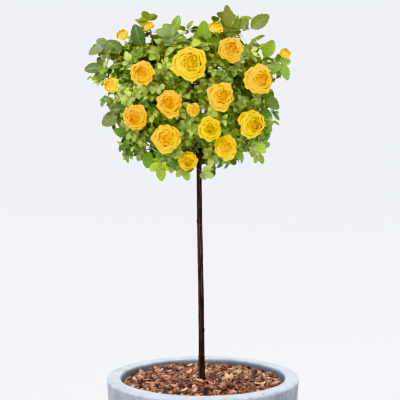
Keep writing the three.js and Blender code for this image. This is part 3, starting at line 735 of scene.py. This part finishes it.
def in_space(owner, points):
    """Whether points all lie in the space of one mass."""
    away = norm(np.asarray(points)[:, None] - mass_centres[None], axis=2)
    return bool((away.argmin(axis=1) == owner).all())


def clear(start, end, room, itself=-2):
    """Whether the straight way between two points keeps clear of limbs and blooms."""
    way = end - start
    share = np.clip(((watch_points - start) @ way) / max(way @ way, 1e-9), 0, 1)
    away = norm(start + share[:, None] * way - watch_points, axis=1)
    return bool(((away > watch_radii + room) | (watch_of == itself)).all())


def hides_bloom(point, room):
    """Whether a point lies before a bloom of the front, seen from the front."""
    across = np.hypot(front_centres[:, 0] - point[0], front_centres[:, 2] - point[2])
    return bool(((across < front_radii + room) & (point[1] < front_centres[:, 1] + 8)).any())


def turned(way, axis, angle):
    """A direction turned about an axis."""
    across = np.cross(axis, way)
    return way * math.cos(angle) + across * math.sin(angle) + axis * axis.dot(way) * (1 - math.cos(angle))


def twig_path(joint, end, heading, steps=8):
    """A smooth way from a joint, in the parent's direction at first, to an end and its heading."""
    reach = norm(end - joint["place"])
    first = joint["place"] + joint["heading"] * 0.25 * reach + UP * 0.05 * reach
    last = end - heading * 0.3 * reach
    share = np.linspace(0, 1, steps)[:, None]
    return (
        (1 - share) ** 3 * joint["place"]
        + 3 * share * (1 - share) ** 2 * first
        + 3 * share**2 * (1 - share) * last
        + share**3 * end
    )


def side_tips(target):
    """Where the tips of a spray's two side leaves would come."""
    side = np.cross(target["heading"], target["face"])
    lean = math.radians(80)
    ways = [target["heading"] * math.cos(lean) + side * s * math.sin(lean) for s in (1, -1)]
    foot = target["place"] - target["heading"] * 7
    return [foot + way * target["length"] * 0.86 for way in ways]


def is_blocked(target, points):
    """Whether a leaf of a spray leaves the crown, meets a limb or a bloom, or hides one in front."""
    if target["fixed"]:
        return False
    for point in points:
        middle = (target["place"] + point) / 2
        if outward_share(point) > edge_limit or not clear(target["place"], point, 3):
            return True
        if hides_bloom(point, 4) or hides_bloom(middle, 4):
            return True
    return False


def best_form(target, owner):
    """Which side leaves of a spray fit its mass: both, one, none, or None if its end doesn't."""
    tip = target["place"] + target["heading"] * target["length"]
    tips = side_tips(target)
    for chosen in ([0, 1], [0], [1], []):
        points = [tip] + [tips[i] for i in chosen]
        if in_space(owner, points) and not is_blocked(target, points):
            return chosen
    return None


canes, shoots, grown = [], [], []
for owner, mass in enumerate(masses):
    ahead = unit(mass["tip"] - mass["bend"])
    fork = mass["tip"] + ahead * fork_reach
    canes.append((np.array([mass["tip"] - ahead * 4, mass["tip"] + ahead * 12, fork]), fork_radii))
    joints = [{"place": fork, "heading": ahead, "room": fork_room, "radius": 1.9}]
    own = sorted(
        (target for target in targets if target["owner"] == owner),
        key=lambda target: float(norm(target["place"] - fork)),
    )
    for target in own:
        is_bloom = target["kind"] == "bloom"
        outward = unit(target["place"] - crown_centre)
        itself = next((i for i, other in enumerate(blooms) if other is target), -2)
        for turn in [0] if target["fixed"] else spray_turns:
            shown = target
            if turn:
                way = turned(target["heading"], outward, math.radians(turn))
                shown = spray_target(target["place"], way, target["length"], False)
            form = [] if is_bloom else best_form(shown, owner)
            if form is None and not target["fixed"]:
                continue
            ways = []
            for joint in joints:
                gap = shown["place"] - joint["place"]
                if joint["room"] > 0 and norm(gap) > 12:
                    lean = 1 - unit(gap).dot(joint["heading"])
                    ways.append((float(norm(gap) * (1 + 0.9 * lean)), len(ways), joint))
            ways.sort(key=lambda item: item[:2])
            chosen = None
            for _, _, joint in ways[:joint_tries]:
                path = twig_path(joint, shown["place"], shown["heading"])
                straight = unit(shown["place"] - joint["place"]).dot(shown["heading"]) > -0.35
                free = straight and in_space(owner, path[1:])
                free = free and all(clear(a, b, 2, itself) for a, b in zip(path[1::2], path[2::2]))
                if free:
                    chosen = (joint, path)
                    break
            if chosen is None and target["fixed"] and ways:
                joint = ways[0][2]
                chosen = (joint, twig_path(joint, shown["place"], shown["heading"]))
            if chosen is None:
                continue
            joint, path = chosen
            joint["room"] -= 1
            end_radius = bloom_stalk if is_bloom else leaf_stalk
            radii = np.linspace(max(joint["radius"], end_radius), end_radius, len(path))
            for share in joint_shares:
                at = int(share * (len(path) - 1))
                thickness = max(0.85 * radii[at], thinnest_joint)
                way = unit(path[at + 1] - path[at])
                joints.append({"place": path[at], "heading": way, "room": 1, "radius": thickness})
            grown.append({"target": shown, "path": path, "radii": radii, "form": form or [], "owner": owner})
            break

# Shaded leaves inside the crown, on what room the joints of the same twigs have left.
draw = seeded(97)
inner_leaves = []
for i in range(inner_count):
    way = spread(inner_count, i)
    spot = outline_point(way, 0.3 + 0.45 * draw())
    heading = unit(way + 2.2 * swayed())
    owner = mass_at(spot)
    near = [
        (float(norm(twig["path"][step] - spot)), number, step)
        for number, twig in enumerate(grown)
        if twig["owner"] == owner
        for step in (2, 4, 6)
    ]
    away, number, step = min(near)
    parent = grown[number]["path"]
    joint = {"place": parent[step], "heading": unit(parent[step] - parent[step - 1])}
    free = clear(spot, spot + heading * 40, 1) and clear(parent[step], spot, 1)
    if inner_reach[0] < away < inner_reach[1] and free and in_space(owner, [spot, spot + heading * 50]):
        inner_leaves.append((owner, twig_path(joint, spot, heading, 6), heading))

# Leaves
# A rose leaf is a fine green stalk with a leaflet at its end and one or two pairs beside it. Each
# leaflet is a toothed blade, folded a little on its midrib, that curls down to its tip.
leaflet_width = 0.64
fine_length = 30.0
leaflet_kinds = 8
stalk_share = 0.50
stalk_arch = 0.12
end_leaflet = 0.52
pair_leaflets = (0.47, 0.37)
pair_lean = 62
outline_pairs = (0.84, 0.66)
outline_lean = 64
shoot_angle = 2.4
whole_turn = 6.28
cover_share = 0.27
shown_radii = (2.2, 1.7)
# Leaves are broad at the top of the crown and small in its middle: heights in mm, and their sizes.
size_heights = [950, 1040, 1120, 1235, 1290, 1340]
size_shares = [0.85, 0.66, 0.58, 0.60, 0.86, 1.0]
greens_top = ["#919940", "#838a36", "#748430", "#9ea64e", "#80902f", "#637428", "#909844", "#a6af5a"]
greens_middle = ["#859142", "#9fa757", "#6a7f32", "#afb86b", "#8c9c4b", "#5c722d", "#b6c07d", "#949c4f"]
greens_low = ["#74873b", "#5c7830", "#8b9849", "#4a6628", "#98a456", "#6b8036", "#567030", "#9fac60"]
# The inner greens are paler as painted light, against the shade inside the crown.
greens_inner_lit = ["#a4b45a", "#90a651", "#b2c06a", "#a8b562", "#859d49", "#bac878"]


def sheet_grid(columns, rows):
    """A flat sheet's points, from -1 to 1 across and 0 to 1 along, and its faces."""
    sheet = bmesh.new()
    bmesh.ops.create_grid(sheet, x_segments=columns, y_segments=rows, size=1.0)
    points, faces = read_shape(sheet)
    return points[:, 0], (points[:, 1] + 1) / 2, faces


def leaflet_set(columns, rows, kinds):
    """Leaflets of one fineness: their points along, across and up, their faces and marks."""
    across, along, faces = sheet_grid(columns, rows)
    row = np.round(along * rows)
    shapes = []
    for kind in range(kinds):
        outline = 2.57 * np.clip(along, 0.0, 1) ** 0.62 * np.clip(1 - along, 0, 1) ** 0.75
        edge = np.abs(across) > 0.99
        tooth = np.where(edge & (row > 0) & (row < rows), np.where(row % 2 == 1, 1.035, 0.965), 1.0)
        half = 0.5 * leaflet_width * (0.9 + 0.25 * draw()) * outline * tooth
        fold = 0.10 + 0.22 * draw()
        curl = 0.10 + 0.20 * draw()
        sway = 0.08 * (draw() - 0.5)
        quilt = 0.012 * np.sin(np.abs(across) * 4 + along * 26) * (1 - np.abs(across) * 0.3)
        x = along + np.where(edge & (row % 2 == 1), 0.025, 0.0)
        y = across * half + sway * along * along
        z = np.abs(across) * half * fold * 1.6 - curl * along * along + quilt * outline
        shapes.append(np.stack([x, y, z], axis=1))
    return shapes, faces, np.stack([across * 0.5 + 0.5, along], axis=1)


draw = seeded(11)
fine_leaflets = leaflet_set(4, 12, leaflet_kinds)
small_leaflets = leaflet_set(4, 6, leaflet_kinds)
leaf_pieces = [[] for mass in masses]
leaf_marks = [[] for mass in masses]

# Sky shows through the crown at these places, in the upright plane through the plant as the front
# shows it: x and z, and the gap's radius. The eye is where the photograph was taken from.
sky_gaps = [
    (-140, 1291, 6.0), (-201, 1288, 4.0), (-237, 1232, 4.0), (111, 1297, 6.0), (-35, 1303, 4.0),
    (158, 1253, 6.0), (5, 1336, 4.0), (5, 1201, 4.0), (-121, 1325, 4.0), (-138, 1023, 3.0),
    (-1, 1111, 4.0), (110, 997, 3.0), (-23, 1180, 3.0), (40, 1218, 3.0),
]
eye = np.array([-7.5, -5074.3, 1586.8])


def seen(points):
    """Where points appear from the front, in the upright plane through the plant."""
    away = np.asarray(points) - eye
    return (eye + away * (-eye[1] / away[:, 1])[:, None])[:, [0, 2]]


# The stem's top and the stalks of two high buds are in plain view too, so leaves keep off them.
shown_buds = [blooms[number] for number in (15, 17)]
shown_stalks = [twig["path"] for twig in grown if any(twig["target"] is bud for bud in shown_buds)]
shown = [np.array([head + UP * lift for lift in range(-80, 14, 8)])] + [path[2:] for path in shown_stalks]
shown += [np.array([leaf["place"] + leaf["heading"] * leaf["length"] * 0.5]) for leaf in outline_leaves]
shown_places = seen(np.concatenate(shown))
shown_depths = np.concatenate([path[:, 1] for path in shown])
shown_rooms = np.array(
    [1.5] * (len(shown_places) - len(outline_leaves)) + [0.28 * leaf["length"] for leaf in outline_leaves]
)
gap_places = np.array([gap[:2] for gap in sky_gaps])
gap_rooms = np.array([gap[2] for gap in sky_gaps])


def comes_near(foot, heading, length, spots, rooms):
    """Which spots a leaflet from its foot along its heading comes over, as seen from the front."""
    ends = seen([foot, foot + heading * length])
    way = ends[1] - ends[0]
    share = np.clip(((spots - ends[0]) @ way) / max(way @ way, 1e-6), 0, 1)
    away = norm(ends[0] + share[:, None] * way - spots, axis=1)
    return away < rooms + cover_share * length


def shuts_gap(foot, heading, length):
    """Whether a leaflet covers a place where sky shows through."""
    return bool(comes_near(foot, heading, length, gap_places, gap_rooms).any())


def hides_shown(foot, heading, length):
    """Whether a leaflet covers a bloom, a stalk or a leaf of the outline that the front shows."""
    if hides_bloom(foot + heading * 0.6 * length, 0) or hides_bloom(foot + heading * length, -2):
        return True
    near = comes_near(foot, heading, length, shown_places, shown_rooms)
    return bool((near & (foot[1] <= shown_depths)).any())


def add_leaflet(owner, foot, heading, face, length, tint, tests=(shuts_gap, hides_shown)):
    """A leaflet from its foot, along its heading, with its upper side to the way it faces."""
    heading = unit(heading)
    if any(test(foot, heading, length) for test in tests):
        return
    face = square_to(heading, face)
    side = np.cross(face, heading)
    shapes, faces, marks = fine_leaflets if length > fine_length else small_leaflets
    shape = shapes[int(draw() * len(shapes))]
    frame_of = np.stack([heading, side, face]) * length
    shade = tint * (0.7 + 0.54 * draw()) * np.array([0.9 + 0.12 * draw(), 1.0, 0.96, 1.0])
    shade[3] = 1.0
    leaf_pieces[owner].append(((shape @ frame_of + foot) * 0.001, faces, shade))
    leaf_marks[owner].append(marks)


def add_pairs(owner, points, ways, face, sizes, lean, tint, tests=(shuts_gap, hides_shown)):
    """Pairs of leaflets beside a stalk, each at its point with the stalk's way there."""
    for point, way, size in zip(points, ways, sizes):
        side = unit(np.cross(way, face))
        for s in (1, -1):
            angle = math.radians(lean + 16 * (draw() - 0.5))
            heading = way * math.cos(angle) + side * s * math.sin(angle)
            tilt = face + side * s * (0.5 * draw() - 0.35) + way * (0.4 * draw() - 0.2)
            add_leaflet(owner, point, heading, tilt, size * (0.9 + 0.2 * draw()), tint, tests)


def add_leaf(owner, foot, heading, face, length, pairs, tint):
    """A whole leaf: its stalk arches over half its length, and its leaflets take the rest."""
    heading = unit(heading)
    face = square_to(heading, unit(face) + 1.1 * swayed())
    stalk = stalk_share * length
    shares = np.array([0, 0.35, 0.7, 1.0])
    path = foot + np.outer(shares, heading) * stalk - np.outer(shares**2, face) * stalk * stalk_arch
    shoots.append((path, [0.75, 0.65, 0.55, 0.45]))
    way = unit(path[3] - path[2])
    tilt = face + 0.3 * (draw() - 0.5) * np.cross(way, face)
    add_leaflet(owner, path[3], way, tilt, end_leaflet * length, tint)
    points = [path[2] + (path[3] - path[2]) * 0.55, path[1] + (path[2] - path[1]) * 0.2][:pairs]
    ways = [way, unit(path[2] - path[1])][:pairs]
    sizes = [size * length for size in pair_leaflets[:pairs]]
    add_pairs(owner, points, ways, face, sizes, pair_lean, tint)


def green_of(point):
    """A green dealt out to a spray by where it stands in the crown; the inner greens are painted paler as
    painted light.
    """
    if outward_share(point) < 0.7:
        pick = greens_inner_lit
    elif point[2] > 1245 + 40 * (draw() - 0.5):
        pick = greens_top
    elif point[2] > 1090 + 40 * (draw() - 0.5):
        pick = greens_middle
    else:
        pick = greens_low
    return np.array(linear(pick[int(draw() * len(pick))]))


def leaf_scale(height):
    """How large the leaves are at a height, as a share of the largest."""
    return float(np.interp(height, size_heights, size_shares))


def leaf_fits(owner, foot, tip):
    """Whether a leaf from its foot to its tip stays in its mass and covers no bloom."""
    if not in_space(owner, [tip]) or outward_share(tip) > 1.03:
        return False
    if hides_bloom(tip, 3) or hides_bloom((tip + foot) / 2, 3):
        return False
    return clear(foot + 0.15 * (tip - foot), tip, 4)


def add_side_shoot(owner, joint, way, reach):
    """A short side shoot: a leaf at its end, and smaller ones on its two sides by turns."""
    end = joint + way * reach + UP * 0.12 * reach
    scale = leaf_scale(end[2])
    if not leaf_fits(owner, joint, end + way * 30 * scale):
        return
    face = unit(joint - crown_centre) + 0.6 * UP
    path = np.array([joint, joint + way * 0.5 * reach, end])
    shoots.append((path, [0.95, 0.8, 0.65]))
    add_leaf(owner, end, way, face, (56 + 22 * draw()) * scale, 2, green_of(end))
    for share in (0.35, 0.7):
        foot = joint + (end - joint) * share
        side = unit(np.cross(way, face)) * (1 if draw() > 0.5 else -1)
        leaf_way = unit(side + 0.5 * way + 0.3 * face)
        size = (46 + 20 * draw()) * scale
        if leaf_fits(owner, foot, foot + leaf_way * size):
            add_leaf(owner, foot, leaf_way, face, size, 1 + int(draw() * 2), green_of(foot))


draw = seeded(23)
for twig in grown:
    target, path, owner = twig["target"], twig["path"], twig["owner"]
    if any(path is stalk for stalk in shown_stalks):
        canes.append((path, np.linspace(*shown_radii, len(path))))
    else:
        (canes if twig["radii"][0] > 1.5 else shoots).append((path, twig["radii"]))
    if target["kind"] == "spray":
        heading, face, length, spot = target["heading"], target["face"], target["length"], target["place"]
        side = np.cross(heading, face)
        if target["fixed"]:
            tint = np.array(linear(target["tint"]))
            add_leaflet(owner, spot, heading, face, length, tint, ())
            back = path[-1] - heading * 0.14 * length
            low = path[-2] if norm(path[-1] - path[-2]) > 0.6 * length else path[-3]
            low_way = unit(path[-1] - low)
            ways, sizes = [heading, low_way], [size * length for size in outline_pairs]
            add_pairs(owner, [back, low], ways, face, sizes, outline_lean, tint, (shuts_gap,))
        else:
            tint = green_of(spot)
            length *= (0.85 + 0.35 * draw()) * leaf_scale(spot[2])
            add_leaf(owner, spot - heading * 2, heading, face, length, 2, tint)
            for i in twig["form"]:
                s = 1 if i == 0 else -1
                angle = math.radians(58 + 26 * draw())
                way = heading * math.cos(angle) + side * s * math.sin(angle) + face * 0.5 * (draw() - 0.4)
                foot = path[-2] + (path[-1] - path[-2]) * (0.3 + 0.5 * draw())
                add_leaf(owner, foot, unit(way), face, 0.86 * length, 1 + int(draw() * 2), tint)
    # Short side shoots grow at the joints of a twig, each turned on from the last.
    length_of = float(norm(np.diff(path, axis=0), axis=1).sum())
    for step in range(1, len(path) - 1):
        if length_of / len(path) * step < 12 or (length_of < 70 and step % 2):
            continue
        along_way = unit(path[step + 1] - path[step])
        out = unit(np.cross(along_way, UP if abs(along_way[2]) < 0.9 else FRONT))
        out = turned(out, along_way, shoot_angle * step + whole_turn * draw())
        add_side_shoot(owner, path[step], unit(out + 0.45 * along_way), 20 + 22 * draw())

for owner, path, heading in inner_leaves:
    shoots.append((path, np.linspace(1.0, 0.75, len(path))))
    face = unit(path[-1] - crown_centre) + 0.5 * UP
    add_leaf(owner, path[-1], heading, face, 44 + 18 * draw(), 2, green_of(path[-1]))
    side = unit(np.cross(heading, UP))
    for foot, s in ((path[-2], 1), (path[-3], -1)):
        add_leaf(owner, foot, unit(s * side + 0.4 * heading), face, 38 + 14 * draw(), 2, green_of(foot))

# Living leaf: a waxy skin with a satin sheen. Its side veins lie about 3 mm apart, paler and
# sunk, and the blade between them is mottled and flushed yellow where it is youngest.
rose_leaf, add, shader, place = new_finish(
    "rose_leaf", Roughness=0.34, Specular_IOR_Level=0.36, Subsurface_Weight=0.25, Subsurface_Scale=0.01,
    Subsurface_Radius=(0.8, 1.0, 0.4),
)
mapped = add("UVMap", {"uv_map": "UVMap"})
split = add("SeparateXYZ", {}, {0: mapped})
centred = add("Math", {"operation": "SUBTRACT", 1: 0.5}, {0: split.outputs[0]})
half = add("Math", {"operation": "ABSOLUTE"}, {0: centred})
slant = add("Math", {"operation": "MULTIPLY_ADD", 1: -0.75}, {0: half, 2: split.outputs[1]})
waves = add("Math", {"operation": "MULTIPLY", 1: 58.0}, {0: slant})
ripple = add("Math", {"operation": "COSINE"}, {0: waves})
side_vein = add("MapRange", {"From Min": 0.75, "From Max": 1.0}, {"Value": ripple})
midrib = add(
    "MapRange", {"From Min": 0.015, "From Max": 0.035, "To Min": 1.0, "To Max": 0.0}, {"Value": half}
)
vein = add("Math", {"operation": "MAXIMUM"}, {0: side_vein, 1: midrib})
vein_share = add("Math", {"operation": "MULTIPLY", 1: 0.2}, {0: vein})
blade, _ = grained_tint(add, place, {"Scale": 170.0, "Detail": 3.0}, 0.82, 1.18)
flush = add("TexNoise", {"Scale": 48.0, "Detail": 2.0}, {"Vector": place})
flush_share = add(
    "MapRange", {"From Min": 0.42, "From Max": 0.62, "To Min": 0.0, "To Max": 0.8}, {"Value": flush}
)
flushed = add(
    "Mix", {"data_type": "RGBA", "blend_type": "MULTIPLY", 7: (1.06, 1.1, 0.5, 1)},
    {0: flush_share, 6: blade},
)
veined = add("Mix", {"data_type": "RGBA", 7: linear("#b6c672")}, {0: vein_share, 6: flushed})
depth = add("Math", {"operation": "MULTIPLY", 1: -1.0}, {0: vein})
relief = add("Bump", {"Strength": 0.5, "Distance": 0.0006}, {"Height": depth})
join(shader, {"Base Color": veined, "Normal": relief})
for mass, pieces, marks in zip(masses, leaf_pieces, leaf_marks):
    name = mass["name"]
    leaf_mesh = joined_mesh(f"leaves_{name}", pieces, marks)
    dress(f"leaves_{name}", leaf_mesh, rose_leaf, "foliage", f"foliage_{name}")

# Blooms
# A double rose of about forty petals: the heart's are upright and wrapped round each other, the
# outer ones open and roll back at the rim. Under them sit a green hip and five sepals.
petal_u, petal_v, petal_faces = sheet_grid(8, 7)
sepal_across, sepal_along, sepal_faces = sheet_grid(2, 6)
bud_radius = 20
bud_petals = 18
bloom_petals = 40
petal_depth = [0.94, 1.02, 0.45, 1]
hip_colour = linear("#5f7a34")
sepal_colour = linear("#6c8a3c")
petals_front, petals_rest, green_parts = [], [], []


def smooth(low, high, value):
    share = np.clip((value - low) / (high - low), 0, 1)
    return share * share * (3 - 2 * share)


def petal_points(share, turn, radius, openness):
    """A petal in the bloom's own frame: share is 0 in the heart and 1 at the outside."""
    u, v = petal_u, petal_v
    # The heart's petals close over it, the middle ones stand, and the outer ones lie open.
    open_out = float(smooth(0.45, 1.0, share))
    rim_out = radius * (0.07 + 0.92 * share**0.9) * openness * (0.97 - 0.07 * share + 0.15 * share * draw())
    rim_up = radius * (0.34 - 0.10 * share - 0.34 * open_out + 0.45 * (1 - openness) + 0.12 * (draw() - 0.5))
    belly_out = rim_out * (2.0 - 1.35 * open_out) + 0.10 * radius * (1 - open_out)
    belly_up = radius * (0.02 - 0.30 * share - 0.06 * open_out)
    base_up = -radius * (0.22 + 0.38 * share)
    t = v * (1 - (0.10 + 0.08 * open_out) * np.abs(u) ** 2.1) * (0.97 + 0.06 * draw())
    out = 2 * t * (1 - t) * belly_out + t * t * rim_out
    up = (1 - t) ** 2 * base_up + 2 * t * (1 - t) * belly_up + t * t * rim_up
    curl = np.clip((t - 0.70) / 0.30, 0, 1) ** 2
    out += radius * curl * (0.03 + 0.07 * open_out)
    up -= radius * curl * (0.02 + 0.17 * open_out)
    out += radius * (0.05 * np.abs(u) ** 3 * open_out + 0.07 * u * (1 - 0.5 * share)) * t
    ruffle = draw() * whole_turn
    up += radius * (0.04 + 0.06 * open_out) * np.sin(5.0 * u + ruffle) * t * t
    out += radius * 0.05 * np.sin(6.5 * u + 2 * ruffle) * t * t
    wide = (1.3 - 0.66 * share) * (0.35 + 0.65 * np.sin(np.minimum(t / 0.75, 1) * math.pi / 2))
    angle = turn + u * wide
    return np.stack([out * np.cos(angle), out * np.sin(angle), up], axis=1)


def petal_tints(share, base):
    """Deeper and warmer in the heart and down in the cup, paler towards the rim."""
    base = base * np.array([1.0, 0.95 + 0.13 * share, 1.0 - 0.3 * share, 1])
    deep = base * np.array([1.0, 0.86 - 0.16 * share, 0.5 - 0.2 * share, 1])
    cream = np.array(linear("#f9e576")) * np.array([1, 1, min(1, 0.15 + 50 * base[2]), 1])
    pale = base * 0.7 + cream * 0.3
    down = (1 - smooth(0.55, 0.9, petal_v))[:, None] * (0.9 - 0.25 * share)
    rim = smooth(0.86, 1.0, petal_v)[:, None] * (0.65 + 0.2 * share)
    shade = base[None] * (1 - down) + deep[None] * down
    shade = shade * (1 - rim) + pale[None] * rim
    shade = shade * (0.98 - 0.06 * share + 0.14 * draw())
    shade[:, 3] = 1
    return shade


draw = seeded(57)
hip = bmesh.new()
bmesh.ops.create_uvsphere(hip, u_segments=8, v_segments=6, radius=1.0)
hip_points, hip_faces = read_shape(hip)
for twig in grown:
    target = twig["target"]
    if target["kind"] != "bloom":
        continue
    radius, facing, centre = target["radius"], target["heading"], target["centre"]
    is_front = any(target is other for other in blooms[:front_count])
    side = unit(np.cross(facing, UP if abs(facing[2]) < 0.9 else FRONT))
    frame_of = np.stack([side, np.cross(facing, side), facing])
    is_bud = radius < bud_radius
    count = bud_petals if is_bud else bloom_petals
    openness = 0.9 if is_bud else 1.0
    radius *= 1.2 if is_bud else 1.0
    base = np.minimum(np.array(linear(target["tint"])) * petal_depth, 1)
    start = draw() * whole_turn
    kept = petals_front if is_front else petals_rest
    for k in range(count):
        share = (k + 0.5) / count
        turn = start + k * golden_angle + 0.8 * (draw() - 0.5)
        shape = petal_points(share, turn, radius, openness)
        kept.append(((shape @ frame_of + centre) * 0.001, petal_faces, petal_tints(share, base)))
    # Small folded petals fill the heart up to just below the rims of the others.
    cushion = (hip_points * np.array([0.6, 0.6, 0.2]) * radius) @ frame_of + centre - facing * 0.05 * radius
    kept.append((cushion * 0.001, hip_faces, base * np.array([1.0, 0.94, 0.9, 1])))
    foot = centre - facing * 0.62 * radius
    shoots.append((np.array([twig["path"][-1], (twig["path"][-1] + foot) / 2, foot]), [1.35, 1.3, 1.5]))
    hip_size = np.array([0.13, 0.13, 0.17]) * radius + 1.2
    hip_shape = (hip_points * hip_size) @ frame_of + foot - facing * hip_size[2] * 0.6
    green_parts.append((hip_shape * 0.001, hip_faces, hip_colour))
    # Sepals stand up round a bud and hang back under an open bloom.
    reach = radius * (1.1 if is_bud else 0.75)
    lift = 0.9 if is_bud else -0.25
    run = sepal_along[:, None]
    for k in range(5):
        around = start + k * 2 * math.pi / 5
        outward = side * math.cos(around) + np.cross(facing, side) * math.sin(around)
        spine = foot + outward * (1.5 + reach * 0.7 * run) + facing * reach * lift * run * (0.4 + 0.6 * run)
        half = sepal_across * 0.13 * reach * (1 - sepal_along) ** 0.7
        wing = np.cross(facing, outward)[None] * half[:, None]
        green_parts.append(((spine + wing) * 0.001, sepal_faces, sepal_colour))

# Rose petal: soft, thin and matt, with fine veins about a millimetre apart that are drawn twice
# as coarse so that they show, and a little light carried through it.
rose_petal, add, shader, place = new_finish(
    "rose_petal", Roughness=0.62, Specular_IOR_Level=0.2, Subsurface_Weight=0.12, Subsurface_Scale=0.004
)
petal_colour, fine = grained_tint(add, place, {"Scale": 420.0, "Detail": 3.0}, 0.93, 1.05)
relief = add("Bump", {"Strength": 0.25, "Distance": 0.0004}, {"Height": fine})
join(shader, {"Base Color": petal_colour, "Normal": relief})
foliage_nodes = [f"foliage_{mass['name']}" for mass in masses]
for name, petals in (("blooms_front", petals_front), ("blooms_around", petals_rest)):
    dress(name, joined_mesh(name, petals), rose_petal, "foliage", *foliage_nodes)

# Hips and sepals have a duller skin than the leaf and no veins, with brown flecks about 3 mm wide.
sepal_skin, add, shader, place = new_finish("green_sepal", Roughness=0.5)
tint = add("Attribute", {"attribute_name": "tint"})
mottle = add("TexNoise", {"Scale": 300.0, "Detail": 3.0}, {"Vector": place})
sepal_share = add("MapRange", {"From Min": 0.5, "From Max": 0.8, "To Max": 0.5}, {"Value": mottle})
sepal_green = add("Mix", {"data_type": "RGBA", 7: linear("#8a5a3a")}, {0: sepal_share, 6: tint})
join(shader, {"Base Color": sepal_green})
dress("hips_and_sepals", joined_mesh("hips_and_sepals", green_parts), sepal_skin, "foliage", *foliage_nodes)

# Stalks and thorns
# The twigs and the stalks of leaves and blooms are round shoots, brown where they are thick and
# green or wine red where they are fine. Thorns grow on the thick ones, at about half their joints.


def round_canes(name, paths, sides):
    """One mesh of round tapering canes, each along its path with a radius at each point."""
    curve = bpy.data.curves.new(name, "CURVE")
    curve.dimensions = "3D"
    curve.bevel_depth = 1.0
    curve.bevel_resolution = sides
    curve.use_fill_caps = True
    for path, radii in paths:
        spline = curve.splines.new("POLY")
        spline.points.add(len(path) - 1)
        places = np.concatenate([np.asarray(path) * 0.001, np.ones((len(path), 1))], axis=1)
        spline.points.foreach_set("co", places.astype(np.float32).ravel())
        spline.points.foreach_set("radius", np.asarray(radii, np.float32) * 0.001)
    holder = set_down(name, curve)
    bpy.context.view_layer.update()
    made = bpy.data.meshes.new_from_object(holder.evaluated_get(bpy.context.evaluated_depsgraph_get()))
    bpy.data.objects.remove(holder)
    return made


thorn_body = bmesh.new()
bmesh.ops.create_cone(
    thorn_body, cap_ends=True, cap_tris=False, segments=6, radius1=1.0, radius2=0.12, depth=1.0
)
thorn_points, thorn_faces = read_shape(thorn_body)
thorn_points[:, 2] += 0.5
draw = seeded(71)
bare_share = 0.5
thorn_length = 3.5
thorn_extra = 2.0
thorn_colour = linear("#8a4a3a")
thorns = []
for path, radii in canes:
    path = np.asarray(path)
    for step in range(1, len(path) - 1):
        ahead = unit(path[step + 1] - path[step])
        out = turned(unit(np.cross(ahead, FRONT)), ahead, shoot_angle * step + whole_turn * draw())
        if draw() < bare_share:
            continue
        # A thorn stands on its cane and leans back to the plant's foot.
        axis = unit(out - 0.45 * ahead)
        side = unit(np.cross(axis, ahead))
        length = thorn_length + thorn_extra * draw()
        frame_of = np.stack([side * 0.9, np.cross(axis, side) * 1.7, axis * length])
        spot = path[step] + out * (radii[step] - 0.5)
        thorns.append(((thorn_points @ frame_of + spot) * 0.001, thorn_faces, thorn_colour))

# Skin of a young shoot: smooth and faintly glossy, green with wine red on the side of the sun, in
# patches 2 to 3 cm long.
shoot_skin, add, shader, place = new_finish("young_shoot", Roughness=0.45)
patches = add("TexNoise", {"Scale": 34.0, "Detail": 3.0}, {"Vector": place})
patch_share = add("MapRange", {"From Min": 0.46, "From Max": 0.6}, {"Value": patches})
shoot_colour = add("Mix", {"data_type": "RGBA", 6: linear("#6f8040"), 7: linear("#7a4032")}, {0: patch_share})
join(shader, {"Base Color": shoot_colour})
dress("shoots", round_canes("shoots", shoots, 0), shoot_skin, "foliage", *foliage_nodes)
dress("twigs", round_canes("twigs", canes, 2), bough_rind, "foliage", *foliage_nodes)
dress("thorns", joined_mesh("thorns", thorns), bough_rind, "foliage", *foliage_nodes)

# Floor, light and camera
# A plain pale floor under a bright even sky, with a soft lamp over the left and another behind.
# The camera stands where the photograph was taken from, 5 m off, and looks down a little.
floor = bmesh.new()
bmesh.ops.create_circle(floor, cap_ends=True, segments=64, radius=90.0)
ground = set_down("floor", finished_mesh("floor", floor))
pale, *_ = new_finish("pale_floor", Roughness=0.9, Base_Color=linear("#efeff0"))
ground.data.materials.append(pale)
ground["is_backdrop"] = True

sky_strength = 1.56
lamp_aim = Vector((0, 0, 0.9))
camera_place = (-0.00752, -5.07434, 1.58684)
camera_down = 7.921
world = bpy.data.worlds.new("studio")
world.use_nodes = True
sky = world.node_tree.nodes["Background"]
sky.inputs["Color"].default_value = linear("#f4f6fb")
sky.inputs["Strength"].default_value = sky_strength
bpy.context.scene.world = world
bpy.context.scene.view_settings.view_transform = "Khronos PBR Neutral"
for name, spot, size, power in (("key", (-1.7, -2.6, 3.4), 0.8, 98.0), ("back", (1.2, 2.4, 3.0), 1.2, 60.0)):
    lamp = bpy.data.lights.new(name, "AREA")
    lamp.size = size
    lamp.energy = power
    holder = set_down(name, lamp)
    holder.location = spot
    holder.rotation_euler = (lamp_aim - Vector(spot)).to_track_quat("-Z", "Y").to_euler()

camera = set_down("camera", bpy.data.cameras.new("camera"))
camera.data.lens = 180.0
camera.data.sensor_width = 36.0
camera.location = camera_place
camera.rotation_euler = (math.radians(90 - camera_down), 0, 0)
bpy.context.scene.camera = camera

low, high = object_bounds()
